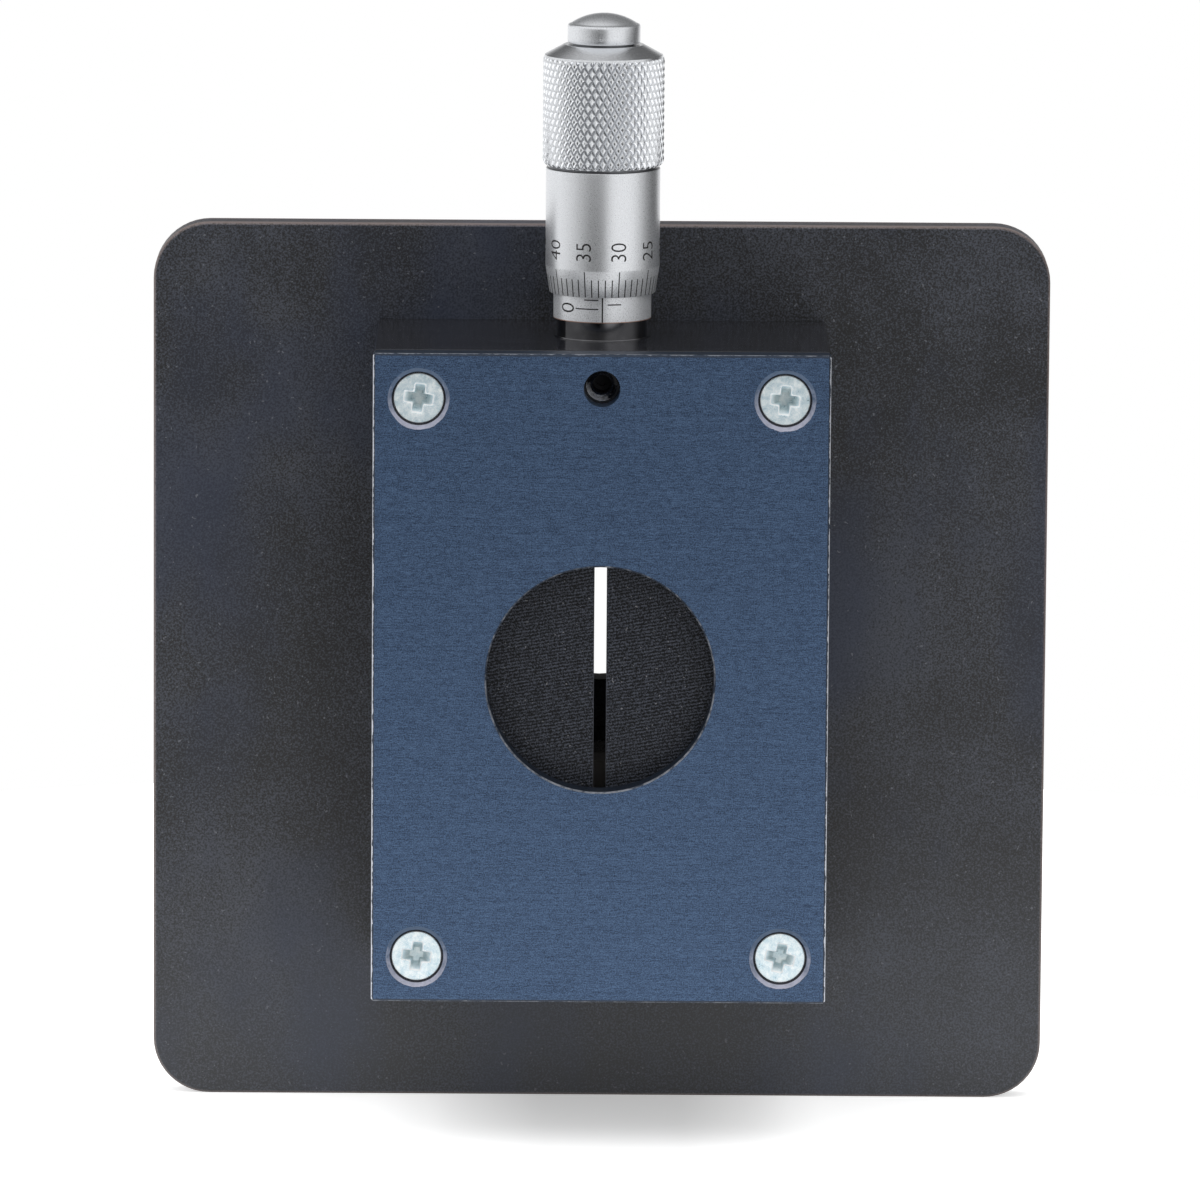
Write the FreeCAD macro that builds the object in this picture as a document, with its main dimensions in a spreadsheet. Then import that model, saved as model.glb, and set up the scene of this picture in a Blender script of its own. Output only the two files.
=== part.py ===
import FreeCAD, Part
import math
import os
from types import SimpleNamespace
import Sketcher
from FreeCAD import Placement, Rotation, Vector

# Variable slit: two knife-edge blades behind a round aperture, opened evenly by a micrometer head.
# Millimetres. The optical axis is the Y axis, +Z is up, and the plate's rear face lies in y = 0.
# Depth is counted forwards from that face, so a depth of 29 is y = -29.
# Every piece is drawn with the slit closed; its Placement then moves it to the reading at rest.

doc = FreeCAD.newDocument("VariableSlit")
sheet = doc.addObject("Spreadsheet::Sheet", "Sizes")

drivingSizes = {
    # base plate
    "plateWidth": 100,
    "plateHeight": 99,
    "plateThickness": 4,
    "plateCornerRadius": 6.3,
    "plateDrop": 2.8,             # plate centre below the optical axis
    "plateEdgeBreak": 0.3,
    "lightHoleDiameter": 13,
    "lightHoleRise": 1.8,         # light hole's centre above the optical axis
    # body block and front cover
    "blockWidth": 50,
    "blockHeight": 72,
    "blockDepth": 25,
    "coverThickness": 3,
    "edgeBreak": 0.25,
    "apertureDiameter": 25,
    "apertureEdgeBreak": 0.2,
    "blockBoreDiameter": 20,
    "jawBayEndWall": 10,
    "jawBayDepth": 9.5,
    "carriageBayEndStep": 4,      # carriage bay's end inside the jaw bay's
    "carriageBaySideStep": 1,
    "bossChannelWidth": 14,
    # fasteners
    "screwInset": 5,              # screw's axis inside the block's sides
    "coverScrewDiameter": 3,
    "coverScrewHead": 5.6,
    "coverScrewLength": 8,
    "countersinkDiameter": 6.85,
    "headSeatRoom": 0.02,         # screw head's height over its seat
    "recessWidth": 0.8,
    "recessSpan": 3.2,
    "recessDepth": 1.1,
    "screwHoleRoom": 0.4,         # clearance hole's diameter over the screw's
    "threadRoom": 0.04,           # tapped hole's diameter over the screw's
    "tapDepthRoom": 1,
    "plateScrewDiameter": 4,
    "plateScrewHead": 7.6,
    "plateScrewLength": 12,
    "plateScrewSocket": 2.5,
    "plateSocketDepth": 1.6,
    "railScrewDiameter": 2,
    "railScrewHead": 3.8,
    "railScrewHeadHeight": 1.3,
    "railScrewLength": 8,
    "smallSocket": 1.3,
    "smallSocketDepth": 0.8,
    "railScrewInset": 2.35,       # screw's axis inside the rail's outer edge
    "railScrewEnd": 4,
    "railHeadRoom": 0.3,
    "bladeScrewDiameter": 2,
    "bladeScrewHead": 3.8,
    "bladeScrewLength": 5,
    "bladeScrewRise": 11.5,
    "bladeScrewInset": 3.5,       # screw's axis inside the blade's back edge
    "clampScrewDiameter": 2.5,
    "clampScrewLength": 3.5,
    "clampScrewDrop": 3.8,        # screw's axis below the block's top
    "clampTapMouth": 3.35,
    "clampHoleDiameter": 4,
    # guide rails and jaw carriers
    "railHeight": 6.9,
    "railEndRoom": 0.05,
    "carrierThickness": 7,
    "carrierSetback": 2.5,        # carrier's inner edge behind the knife edge
    "carrierOverhang": 1,         # carrier's outer edge past the blade's back
    "carrierEndRoom": 0.15,
    "carrierRoom": 0.1,
    "jawEndRoom": 1,              # left beyond the carriers, slit wide open
    "tongueThickness": 2,
    "tongueReach": 2.1,
    "guideRoom": 0.03,
    # blades
    "bladeThickness": 2,
    "bladeWidth": 16.5,
    "bladeHeight": 30,
    "bladeClosedGap": 0.02,
    "knifeLand": 0.1,
    "knifeBevel": 3,
    # cam carriage
    "carriageBottomRoom": 1.7,
    "carriageTopRoom": 0.3,
    "carriageSideRoom": 0.05,
    "carriageWindowWidth": 15,
    "carriageWindowHeight": 25,
    "bossWidth": 12,
    "bossHeight": 4.5,
    "buttonDiameter": 5,
    "buttonThickness": 1.3,
    "buttonSeatDepth": 0.52,
    "pinDiameter": 3,
    "pinSpacing": 27,
    "pinRoom": 0.03,
    "pinPressDepth": 5,
    "pinEndRoom": 0.4,
    "slotOverrun": 0.3,
    # return springs
    "springSpacing": 24,
    "springOuter": 3.7,
    "springWire": 0.5,
    "springTurns": 7,
    "springPocket": 4.2,
    "springPocketDepth": 6,
    "springFloorDepth": 5,
    "springEndRoom": 0.05,
    # micrometer head
    "stemDiameter": 9.5,
    "stemLength": 7.5,
    "stemRoom": 0.02,
    "neckDiameter": 9.9,
    "neckHeight": 2.05,
    "barrelDiameter": 9,
    "barrelHeight": 21.45,
    "spindleDiameter": 5,
    "spindleRoom": 0.02,
    "threadDiameter": 5.9,
    "threadRise": 11.2,           # spindle thread's start above the block's top, slit closed
    "threadBoreRise": 10.5,
    "collarDiameter": 7.2,
    "collarHeight": 2.1,
    "stubDiameter": 4,
    "stubReach": 0.9,             # spindle's end inside the cap
    "sleeveDiameter": 10.8,
    "sleeveLength": 16.8,
    "zeroLineRise": 1.53,         # zero line above the sleeve's lower edge
    "nutDiameter": 10.6,
    "nutHeight": 3.4,
    "nutDrop": 0.6,
    "thimbleDiameter": 12.6,
    "thimbleEdgeDiameter": 11.7,
    "thimbleBoreRoom": 0.1,
    "thimbleBoreDepth": 23.2,
    "skirtLength": 3,
    "plainLength": 11.07,
    "knurlDiameter": 13.4,
    "knurlLength": 12.2,
    "knurlStep": 0.35,
    "knurlEndStep": 0.2,
    "knurlEndRun": 0.5,
    "crownDiameter": 8.8,
    "crownHeight": 1.15,
    "capDiameter": 8,
    "capHeight": 2.27,
    "capDomeHeight": 1.15,
    "capBreak": 0.3,
    "seatRoom": 0.01,
    # motion
    "maxOpening": 5,
    "restReading": 1.32,
}


class Size:
    # a number together with the sheet expression that gives it

    def __init__(self, text, value):
        self.text = text
        self.value = value

    def __add__(self, other):
        other = asSize(other)
        return Size(f"({self.text} + {other.text})", self.value + other.value)

    def __sub__(self, other):
        other = asSize(other)
        return Size(f"({self.text} - {other.text})", self.value - other.value)

    def __mul__(self, other):
        other = asSize(other)
        return Size(f"({self.text} * {other.text})", self.value * other.value)

    def __truediv__(self, other):
        other = asSize(other)
        return Size(f"({self.text} / {other.text})", self.value / other.value)

    def __radd__(self, other):
        return asSize(other) + self

    def __rsub__(self, other):
        return asSize(other) - self

    def __rmul__(self, other):
        return asSize(other) * self

    def __neg__(self):
        return asSize(0) - self


def asSize(number):
    if isinstance(number, Size):
        return number
    return Size(repr(float(number)), float(number))


def readSheet():
    for row, (name, value) in enumerate(drivingSizes.items(), start=1):
        sheet.set(f"A{row}", name)
        sheet.set(f"B{row}", str(value))
        sheet.setAlias(f"B{row}", name)
    doc.recompute()
    return SimpleNamespace(**{name: Size("Sizes." + name, float(sheet.get(name))) for name in drivingSizes})


size = readSheet()

# places worked out from the driving sizes
coverRear = size.plateThickness + size.blockDepth
coverFront = coverRear + size.coverThickness
blockTop = size.blockHeight / 2
blockBottom = -size.blockHeight / 2
screwSpacingX = size.blockWidth - 2 * size.screwInset
screwSpacingZ = size.blockHeight - 2 * size.screwInset
bladeBack = size.bladeClosedGap / 2 + size.bladeWidth
bladeScrewOffset = bladeBack - size.bladeScrewInset
carrierOuter = bladeBack + size.carrierOverhang
jawBayWidth = 2 * (carrierOuter + size.maxOpening / 2 + size.jawEndRoom)
jawBayHeight = size.blockHeight - 2 * size.jawBayEndWall
jawBayFloor = coverRear - size.jawBayDepth
railOuter = jawBayHeight / 2 - size.railEndRoom
railInner = railOuter - size.railHeight
railScrewRise = railOuter - size.railScrewInset
railScrewX = jawBayWidth / 2 - size.railScrewEnd
carrierHeight = 2 * (railInner - size.carrierEndRoom)
clampScrewRise = blockTop - size.clampScrewDrop
stemBottom = blockTop - size.stemLength
spindleDepth = size.plateThickness + size.blockDepth / 2
carriageBayHeight = jawBayHeight - 2 * size.carriageBayEndStep
carriageBayWidth = jawBayWidth - 2 * size.carriageBaySideStep
carriageWidth = carriageBayWidth - 2 * size.carriageSideRoom
carriageHeight = carriageBayHeight - size.carriageBottomRoom - size.maxOpening - size.carriageTopRoom
carriageThickness = 2 * (jawBayFloor - size.carriageSideRoom - spindleDepth)
carriageRear = spindleDepth - carriageThickness / 2
carriageBayFloor = carriageRear - size.carriageSideRoom
carrierRear = jawBayFloor + size.carrierRoom
carrierFront = carrierRear + size.carrierThickness
bladeFront = carrierFront + size.bladeThickness
tongueRear = carrierRear + (size.carrierThickness - size.tongueThickness) / 2
carriageBottom = -carriageBayHeight / 2 + size.carriageBottomRoom
carriageTop = carriageBottom + carriageHeight
bossTop = carriageTop + size.bossHeight
buttonTop = bossTop + size.buttonThickness - size.buttonSeatDepth
springSeatTop = carriageBottom + size.springPocketDepth
springSeatBottom = -carriageBayHeight / 2 - size.springFloorDepth
sleeveBottom = blockTop + size.neckHeight
zeroLine = sleeveBottom + size.zeroLineRise
thimbleCeiling = zeroLine + size.thimbleBoreDepth
knurlStart = zeroLine + size.skirtLength + size.plainLength
knurlEnd = knurlStart + size.knurlLength
crownTop = knurlEnd + size.crownHeight
barrelTop = sleeveBottom + size.barrelHeight
restShift = size.restReading / 2
screwSink = (size.countersinkDiameter - size.coverScrewHead) / 2 - size.headSeatRoom

nodes = []
tolerance = 1e-6


def bind(feature, path, value):
    feature.setExpression(path, asSize(value).text)


def addBody(name):
    body = doc.addObject("PartDesign::Body", name)
    body.Label = name
    nodes.append(body)
    return body


def addSketch(body, name, role, offset=None):
    # XZ_Plane faces forwards, so there an offset is a depth
    sketch = body.newObject("Sketcher::SketchObject", name)
    plane = next(item for item in body.Origin.OriginFeatures if item.Role == role)
    sketch.AttachmentSupport = [(plane, "")]
    sketch.MapMode = "FlatFace"
    if offset is not None:
        bind(sketch, "AttachmentOffset.Base.z", offset)
    return sketch


def hold(sketch, kind, *items):
    value = items[-1]
    index = sketch.addConstraint(Sketcher.Constraint(kind, *items[:-1], value.value))
    bind(sketch, f"Constraints[{index}]", value)


def holdPoint(sketch, geometry, point, x, y):
    # fixes a point by its two distances from the sketch's origin
    origin, verticalAxis, horizontalAxis = (-1, 1), -2, -1
    for kind, place, axis in (("DistanceX", x, verticalAxis), ("DistanceY", y, horizontalAxis)):
        if isinstance(place, Size):
            hold(sketch, kind, *origin, geometry, point, place)
        else:
            sketch.addConstraint(Sketcher.Constraint("PointOnObject", geometry, point, axis))


def drawDome(sketch, start, end):
    # round side whose centre lies in the sketch's vertical axis
    rise = (end.x ** 2 - start.x ** 2) / (2 * (end.y - start.y)) + (start.y + end.y) / 2
    centre = Vector(0, rise, 0)
    middle = centre + ((start + end) / 2 - centre).normalize() * (start - centre).Length
    side = sketch.addGeometry(Part.Arc(start, middle, end))
    sketch.addConstraint(Sketcher.Constraint("PointOnObject", side, 3, -2))
    return side


def drawProfile(sketch, corners, dome=None):
    # closed outline through the corners; the side numbered dome, if any, is round
    points = [Vector(asSize(x).value, asSize(y).value, 0) for x, y in corners]
    lines = []
    for number, (start, end) in enumerate(zip(points, points[1:] + points[:1])):
        if number == dome:
            lines.append(drawDome(sketch, start, end))
        else:
            lines.append(sketch.addGeometry(Part.LineSegment(start, end)))
    for line, after in zip(lines, lines[1:] + lines[:1]):
        sketch.addConstraint(Sketcher.Constraint("Coincident", line, 2, after, 1))
    for line, (x, y) in zip(lines, corners):
        holdPoint(sketch, line, 1, x, y)


def drawRectangle(sketch, left, bottom, right, top):
    drawProfile(sketch, [(left, bottom), (right, bottom), (right, top), (left, top)])


def drawCircle(sketch, x, y, diameter):
    centre = Vector(asSize(x).value, asSize(y).value, 0)
    circle = sketch.addGeometry(Part.Circle(centre, Vector(0, 0, 1), diameter.value / 2))
    hold(sketch, "Diameter", circle, diameter)
    holdPoint(sketch, circle, 3, x, y)


def drawSlot(sketch, start, end, width):
    # straight slot with round ends, given by the centres of its ends
    a = Vector(start[0].value, start[1].value, 0)
    b = Vector(end[0].value, end[1].value, 0)
    along = (b - a).normalize()
    side = Vector(-along.y, along.x, 0) * (width.value / 2)
    firstArc = sketch.addGeometry(Part.Arc(a + side, a - along * (width.value / 2), a - side))
    lowLine = sketch.addGeometry(Part.LineSegment(a - side, b - side))
    lastArc = sketch.addGeometry(Part.Arc(b - side, b + along * (width.value / 2), b + side))
    highLine = sketch.addGeometry(Part.LineSegment(b + side, a + side))
    shape = [firstArc, lowLine, lastArc, highLine]
    for item, after in zip(shape, shape[1:] + shape[:1]):
        near = nearEnds(sketch, item, after)
        sketch.addConstraint(Sketcher.Constraint("Tangent", item, near[0], after, near[1]))
    hold(sketch, "Diameter", firstArc, width)
    sketch.addConstraint(Sketcher.Constraint("Equal", firstArc, lastArc))
    holdPoint(sketch, firstArc, 3, *start)
    holdPoint(sketch, lastArc, 3, *end)


def nearEnds(sketch, item, after):
    # which end of one line or arc meets which end of the next
    pairs = [(i, j) for i in (1, 2) for j in (1, 2)]
    return min(pairs, key=lambda pair: sketch.getPoint(item, pair[0]).distanceToPoint(
        sketch.getPoint(after, pair[1])))


def addPad(body, sketch, length):
    pad = body.newObject("PartDesign::Pad", sketch.Name + "Pad")
    pad.Profile = sketch
    bind(pad, "Length", length)
    sketch.Visibility = False
    return pad


def addPocket(body, sketch, length, forwards=False):
    # cuts back into the solid from the sketch, or away from it where forwards is set
    pocket = body.newObject("PartDesign::Pocket", sketch.Name + "Pocket")
    pocket.Profile = sketch
    bind(pocket, "Length", length)
    pocket.Reversed = forwards
    return pocket


def addTurning(body, sketch, cut=False):
    kind = "PartDesign::Groove" if cut else "PartDesign::Revolution"
    turning = body.newObject(kind, sketch.Name + "Turning")
    turning.Profile = sketch
    turning.ReferenceAxis = (sketch, ["V_Axis"])
    turning.Angle = 360
    return turning


def edgeNames(shape, wanted):
    return [f"Edge{number}" for number, edge in enumerate(shape.Edges, start=1) if wanted(edge)]


def alongY(edge):
    start, end = edge.Vertexes[0].Point, edge.Vertexes[-1].Point
    straight = edge.Curve.TypeId == "Part::GeomLine"
    return straight and abs(end.x - start.x) < tolerance and abs(end.z - start.z) < tolerance


def atDepth(edge, depth):
    return all(abs(vertex.Point.y + asSize(depth).value) < tolerance for vertex in edge.Vertexes)


def holeMouth(depth, diameter):
    # picks the round edges of one diameter at one depth
    def wanted(edge):
        return (edge.Curve.TypeId == "Part::GeomCircle" and atDepth(edge, depth)
                and abs(edge.Curve.Radius - diameter.value / 2) < tolerance)
    return wanted


def addDress(body, kind, base, wanted, amount):
    doc.recompute()
    dress = body.newObject("PartDesign::" + kind, base.Name + kind)
    dress.Base = (base, edgeNames(base.Shape, wanted))
    bind(dress, "Radius" if kind == "Fillet" else "Size", amount)
    return dress


def placeAt(node, x=None, y=None, z=None):
    for axis, place in (("x", x), ("y", y), ("z", z)):
        if place is not None:
            bind(node, f"Placement.Base.{axis}", place)


def cornerPlaces(spacingX, spacingZ):
    return [(x * spacingX / 2, z * spacingZ / 2) for x in (-1, 1) for z in (-1, 1)]


def drill(body, name, places, diameter, depth, length, forwards=False):
    sketch = addSketch(body, name, "XZ_Plane", depth)
    for x, z in places:
        drawCircle(sketch, x, z, diameter)
    return addPocket(body, sketch, length, forwards)


def makeBasePlate():
    body = addBody("base_plate")
    outline = addSketch(body, "PlateOutline", "XZ_Plane")
    drawRectangle(outline, -size.plateWidth / 2, -size.plateHeight / 2 - size.plateDrop,
                  size.plateWidth / 2, size.plateHeight / 2 - size.plateDrop)
    pad = addPad(body, outline, size.plateThickness)
    rounded = addDress(body, "Fillet", pad, alongY, size.plateCornerRadius)
    faces = (0, size.plateThickness)
    broken = addDress(body, "Chamfer", rounded,
                      lambda edge: any(atDepth(edge, depth) for depth in faces), size.plateEdgeBreak)
    body.Tip = broken
    drill(body, "LightHole", [(0, size.lightHoleRise)], size.lightHoleDiameter,
          size.plateThickness, size.plateThickness)
    places = cornerPlaces(screwSpacingX, screwSpacingZ)
    hole = size.plateScrewDiameter + size.screwHoleRoom
    holes = drill(body, "PlateScrewHoles", places, hole, size.plateThickness, size.plateThickness)
    # countersinks for the screw heads, sunk from the rear face
    headStep = (size.plateScrewHead - size.plateScrewDiameter) / 2
    addDress(body, "Chamfer", holes, holeMouth(0, hole), headStep)
    return body


def makeBodyBlock():
    body = addBody("body_block")
    outline = addSketch(body, "BlockOutline", "XZ_Plane", size.plateThickness)
    drawRectangle(outline, -size.blockWidth / 2, blockBottom, size.blockWidth / 2, blockTop)
    pad = addPad(body, outline, size.blockDepth)
    broken = addDress(body, "Chamfer", pad, lambda edge: not atDepth(edge, size.plateThickness),
                      size.edgeBreak)
    body.Tip = broken
    jawBay = addSketch(body, "JawBay", "XZ_Plane", coverRear)
    drawRectangle(jawBay, -jawBayWidth / 2, -jawBayHeight / 2,
                  jawBayWidth / 2, jawBayHeight / 2)
    addPocket(body, jawBay, size.jawBayDepth)
    carriageBay = addSketch(body, "CarriageBay", "XZ_Plane", jawBayFloor)
    halfBay, halfChannel = carriageBayWidth / 2, size.bossChannelWidth / 2
    low, high = -carriageBayHeight / 2, carriageBayHeight / 2
    drawProfile(carriageBay, [
        (-halfBay, low), (halfBay, low), (halfBay, high), (halfChannel, high),
        (halfChannel, stemBottom), (-halfChannel, stemBottom),
        (-halfChannel, high), (-halfBay, high)])
    addPocket(body, carriageBay, jawBayFloor - carriageBayFloor)
    drill(body, "RearBore", [(0, 0)], size.blockBoreDiameter, carriageBayFloor,
          carriageBayFloor - size.plateThickness)
    # stem bore from the top, spring seats in the carriage bay's floor
    stem = addSketch(body, "StemBore", "XY_Plane", blockTop)
    drawCircle(stem, 0, -spindleDepth, size.stemDiameter + 2 * size.stemRoom)
    addPocket(body, stem, blockTop - stemBottom)
    springs = addSketch(body, "SpringSeats", "XY_Plane", -carriageBayHeight / 2)
    for side in (-1, 1):
        drawCircle(springs, side * size.springSpacing / 2, -spindleDepth, size.springPocket)
    addPocket(body, springs, size.springFloorDepth)
    # tapped holes
    corners = cornerPlaces(screwSpacingX, screwSpacingZ)
    drill(body, "CoverTaps", corners, size.coverScrewDiameter + size.threadRoom, coverRear,
          size.coverScrewLength + size.tapDepthRoom - (size.coverThickness - screwSink))
    drill(body, "PlateTaps", corners, size.plateScrewDiameter + size.threadRoom,
          size.plateThickness, size.plateScrewLength - size.plateThickness + size.tapDepthRoom, True)
    railTaps = cornerPlaces(2 * railScrewX, 2 * railScrewRise)
    drill(body, "RailTaps", railTaps, size.railScrewDiameter + size.threadRoom, jawBayFloor,
          size.railScrewLength)
    tap = size.clampScrewDiameter + size.threadRoom
    clampTap = drill(body, "ClampTap", [(0, clampScrewRise)], tap, coverRear, coverRear - spindleDepth)
    addDress(body, "Chamfer", clampTap, holeMouth(coverRear, tap), (size.clampTapMouth - tap) / 2)
    return body


def makeFrontCover():
    body = addBody("front_cover")
    outline = addSketch(body, "CoverOutline", "XZ_Plane", coverRear)
    drawRectangle(outline, -size.blockWidth / 2, blockBottom, size.blockWidth / 2, blockTop)
    pad = addPad(body, outline, size.coverThickness)
    broken = addDress(body, "Chamfer", pad, lambda edge: True, size.edgeBreak)
    body.Tip = broken
    aperture = drill(body, "Aperture", [(0, 0)], size.apertureDiameter, coverFront, size.coverThickness)
    edged = addDress(body, "Chamfer", aperture, holeMouth(coverFront, size.apertureDiameter),
                     size.apertureEdgeBreak)
    body.Tip = edged
    drill(body, "ClampAccess", [(0, clampScrewRise)], size.clampHoleDiameter, coverFront,
          size.coverThickness)
    corners = cornerPlaces(screwSpacingX, screwSpacingZ)
    hole = size.coverScrewDiameter + size.screwHoleRoom
    holes = drill(body, "ScrewHoles", corners, hole, coverFront, size.coverThickness)
    addDress(body, "Chamfer", holes, holeMouth(coverFront, hole), (size.countersinkDiameter - hole) / 2)
    return body


def screwProfile(diameter, head, headHeight, length, sunk):
    # half section of a screw whose head's top lies in the sketch's horizontal axis
    corners = [(0, 0), (head / 2, 0)]
    if not sunk:
        corners.append((head / 2, -headHeight))
    return corners + [(diameter / 2, -headHeight), (diameter / 2, -length), (0, -length)]


def drawCross(sketch, span, width):
    halfSpan, halfWidth = span / 2, width / 2
    drawProfile(sketch, [
        (halfWidth, halfWidth), (halfWidth, halfSpan), (-halfWidth, halfSpan), (-halfWidth, halfWidth),
        (-halfSpan, halfWidth), (-halfSpan, -halfWidth), (-halfWidth, -halfWidth),
        (-halfWidth, -halfSpan), (halfWidth, -halfSpan), (halfWidth, -halfWidth),
        (halfSpan, -halfWidth), (halfSpan, halfWidth)])


def drawHexagon(sketch, flats, rise=0):
    # upright hexagon on the sketch's vertical axis, given by its width across flats
    flat = flats / 2
    corner = flats * (1 / math.sqrt(3))
    low, high = rise - corner / 2, rise + corner / 2
    drawProfile(sketch, [
        (flat, high), (0, rise + corner), (-flat, high), (-flat, low), (0, rise - corner), (flat, low)])


def makeScrew(name, diameter, head, headHeight, length, sunk, recess, socket=None):
    # a cross recess where no socket is given, else a hexagon socket of that width
    body = doc.addObject("PartDesign::Body", name)
    profile = addSketch(body, name + "Profile", "XZ_Plane")
    drawProfile(profile, screwProfile(diameter, head, headHeight, length, sunk))
    addTurning(body, profile)
    drive = addSketch(body, name + "Drive", "XY_Plane")
    if socket is None:
        drawCross(drive, size.recessSpan, size.recessWidth)
    else:
        drawHexagon(drive, socket)
    addPocket(body, drive, recess)
    doc.recompute()
    return body


def makeSet(name, screw, places, facing):
    # copies of one screw, each turned from +Z to the way its head faces
    node = doc.addObject("Part::Feature", name)
    node.Label = name
    copies = []
    for place in places:
        copy = screw.Shape.copy()
        copy.Placement = Placement(Vector(*place), Rotation(Vector(0, 0, 1), facing))
        copies.append(copy)
    node.Shape = Part.makeCompound(copies)
    nodes.append(node)
    return node


frontwards, backwards = Vector(0, -1, 0), Vector(0, 1, 0)


def makeFasteners():
    corners = cornerPlaces(screwSpacingX, screwSpacingZ)
    cover = makeScrew("CoverScrew", size.coverScrewDiameter, size.coverScrewHead,
                      (size.coverScrewHead - size.coverScrewDiameter) / 2, size.coverScrewLength,
                      True, size.recessDepth)
    headTop = coverFront - screwSink
    makeSet("cover_screws", cover, [(x.value, -headTop.value, z.value) for x, z in corners], frontwards)
    plate = makeScrew("PlateScrew", size.plateScrewDiameter, size.plateScrewHead,
                      (size.plateScrewHead - size.plateScrewDiameter) / 2, size.plateScrewLength,
                      True, size.plateSocketDepth, size.plateScrewSocket)
    makeSet("plate_screws", plate, [(x.value, 0, z.value) for x, z in corners], backwards)
    rail = makeScrew("RailScrew", size.railScrewDiameter, size.railScrewHead, size.railScrewHeadHeight,
                     size.railScrewLength, False, size.smallSocketDepth, size.smallSocket)
    railPlaces = cornerPlaces(2 * railScrewX, 2 * railScrewRise)
    places = [(x.value, -carrierFront.value, z.value) for x, z in railPlaces]
    makeSet("rail_screws", rail, places, frontwards)
    blade = makeScrew("BladeScrew", size.bladeScrewDiameter, size.bladeScrewHead,
                      (size.bladeScrewHead - size.bladeScrewDiameter) / 2, size.bladeScrewLength,
                      True, size.smallSocketDepth, size.smallSocket)
    for side, word in ((-1, "left"), (1, "right")):
        x = side * (bladeScrewOffset + restShift).value
        places = [(x, -bladeFront.value, up * size.bladeScrewRise.value) for up in (-1, 1)]
        makeSet(word + "_blade_screws", blade, places, frontwards)


def makeClampScrew():
    body = addBody("clamp_screw")
    tip = spindleDepth + size.stemDiameter / 2 + size.stemRoom
    outline = addSketch(body, "ClampScrewOutline", "XZ_Plane", tip)
    drawCircle(outline, 0, clampScrewRise, size.clampScrewDiameter)
    addPad(body, outline, size.clampScrewLength)
    socket = addSketch(body, "ClampSocket", "XZ_Plane", tip + size.clampScrewLength)
    drawHexagon(socket, size.smallSocket, clampScrewRise)
    addPocket(body, socket, size.smallSocketDepth)
    return body


def makeRail(name, side):
    body = addBody(name)
    inner, outer = side * railInner, side * railOuter
    grooveEnd = side * (carrierHeight / 2 + size.tongueReach + size.carrierRoom)
    low, high = tongueRear - size.guideRoom, tongueRear + size.tongueThickness + size.guideRoom
    # section across the rail: local x is depth, counted backwards along Y
    section = addSketch(body, name + "Section", "YZ_Plane", -jawBayWidth / 2 + size.railEndRoom)
    drawProfile(section, [
        (-jawBayFloor, outer), (-carrierFront, outer), (-carrierFront, inner), (-high, inner),
        (-high, grooveEnd), (-low, grooveEnd), (-low, inner), (-jawBayFloor, inner)])
    addPad(body, section, jawBayWidth - 2 * size.railEndRoom)
    places = [(x * railScrewX, side * railScrewRise) for x in (-1, 1)]
    drill(body, name + "Holes", places, size.railScrewDiameter + size.screwHoleRoom, carrierFront,
          carrierFront - jawBayFloor)
    drill(body, name + "Heads", places, size.railScrewHead + size.railHeadRoom, carrierFront,
          size.railScrewHeadHeight)
    return body


def makeCarrier(word, side):
    body = addBody(word + "_carrier")
    inner, outer = side * size.carrierSetback, side * carrierOuter
    halfHeight = carrierHeight / 2
    block = addSketch(body, word + "CarrierOutline", "XZ_Plane", carrierRear)
    drawRectangle(block, inner, -halfHeight, outer, halfHeight)
    addPad(body, block, size.carrierThickness)
    tongue = addSketch(body, word + "Tongue", "XZ_Plane", tongueRear)
    reach = halfHeight + size.tongueReach
    drawRectangle(tongue, inner, -reach, outer, reach)
    addPad(body, tongue, size.tongueThickness)
    pinPlace = [(side * size.pinSpacing / 2, 0)]
    drill(body, word + "PinHole", pinPlace, size.pinDiameter + 2 * size.seatRoom, carrierRear,
          size.pinPressDepth, True)
    places = [(side * bladeScrewOffset, up * size.bladeScrewRise) for up in (-1, 1)]
    drill(body, word + "BladeTaps", places, size.bladeScrewDiameter + size.threadRoom, carrierFront,
          size.bladeScrewLength)
    placeAt(body, x=side * restShift)
    return body


def makeBlade(word, side):
    body = addBody(word + "_blade")
    edge = side * size.bladeClosedGap / 2
    shoulder = side * (size.bladeClosedGap / 2 + size.knifeBevel)
    back = side * bladeBack
    # section seen from above: flat front face, bevel behind it down to a narrow land
    section = addSketch(body, word + "BladeSection", "XY_Plane", -size.bladeHeight / 2)
    drawProfile(section, [
        (edge, -bladeFront), (edge, -bladeFront + size.knifeLand), (shoulder, -carrierFront),
        (back, -carrierFront), (back, -bladeFront)])
    addPad(body, section, size.bladeHeight)
    places = [(side * bladeScrewOffset, up * size.bladeScrewRise) for up in (-1, 1)]
    hole = size.bladeScrewDiameter + size.screwHoleRoom
    holes = drill(body, word + "BladeHoles", places, hole, bladeFront, size.bladeThickness)
    addDress(body, "Chamfer", holes, holeMouth(bladeFront, hole),
             (size.bladeScrewHead - size.bladeScrewDiameter) / 2)
    placeAt(body, x=side * restShift)
    return body


def makeCamPin(word, side):
    body = addBody(word + "_cam_pin")
    rear = carriageBayFloor + size.pinEndRoom
    outline = addSketch(body, word + "PinOutline", "XZ_Plane", rear)
    drawCircle(outline, side * size.pinSpacing / 2, 0, size.pinDiameter)
    addPad(body, outline, carrierRear + size.pinPressDepth - rear)
    placeAt(body, x=side * restShift)
    return body


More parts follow.
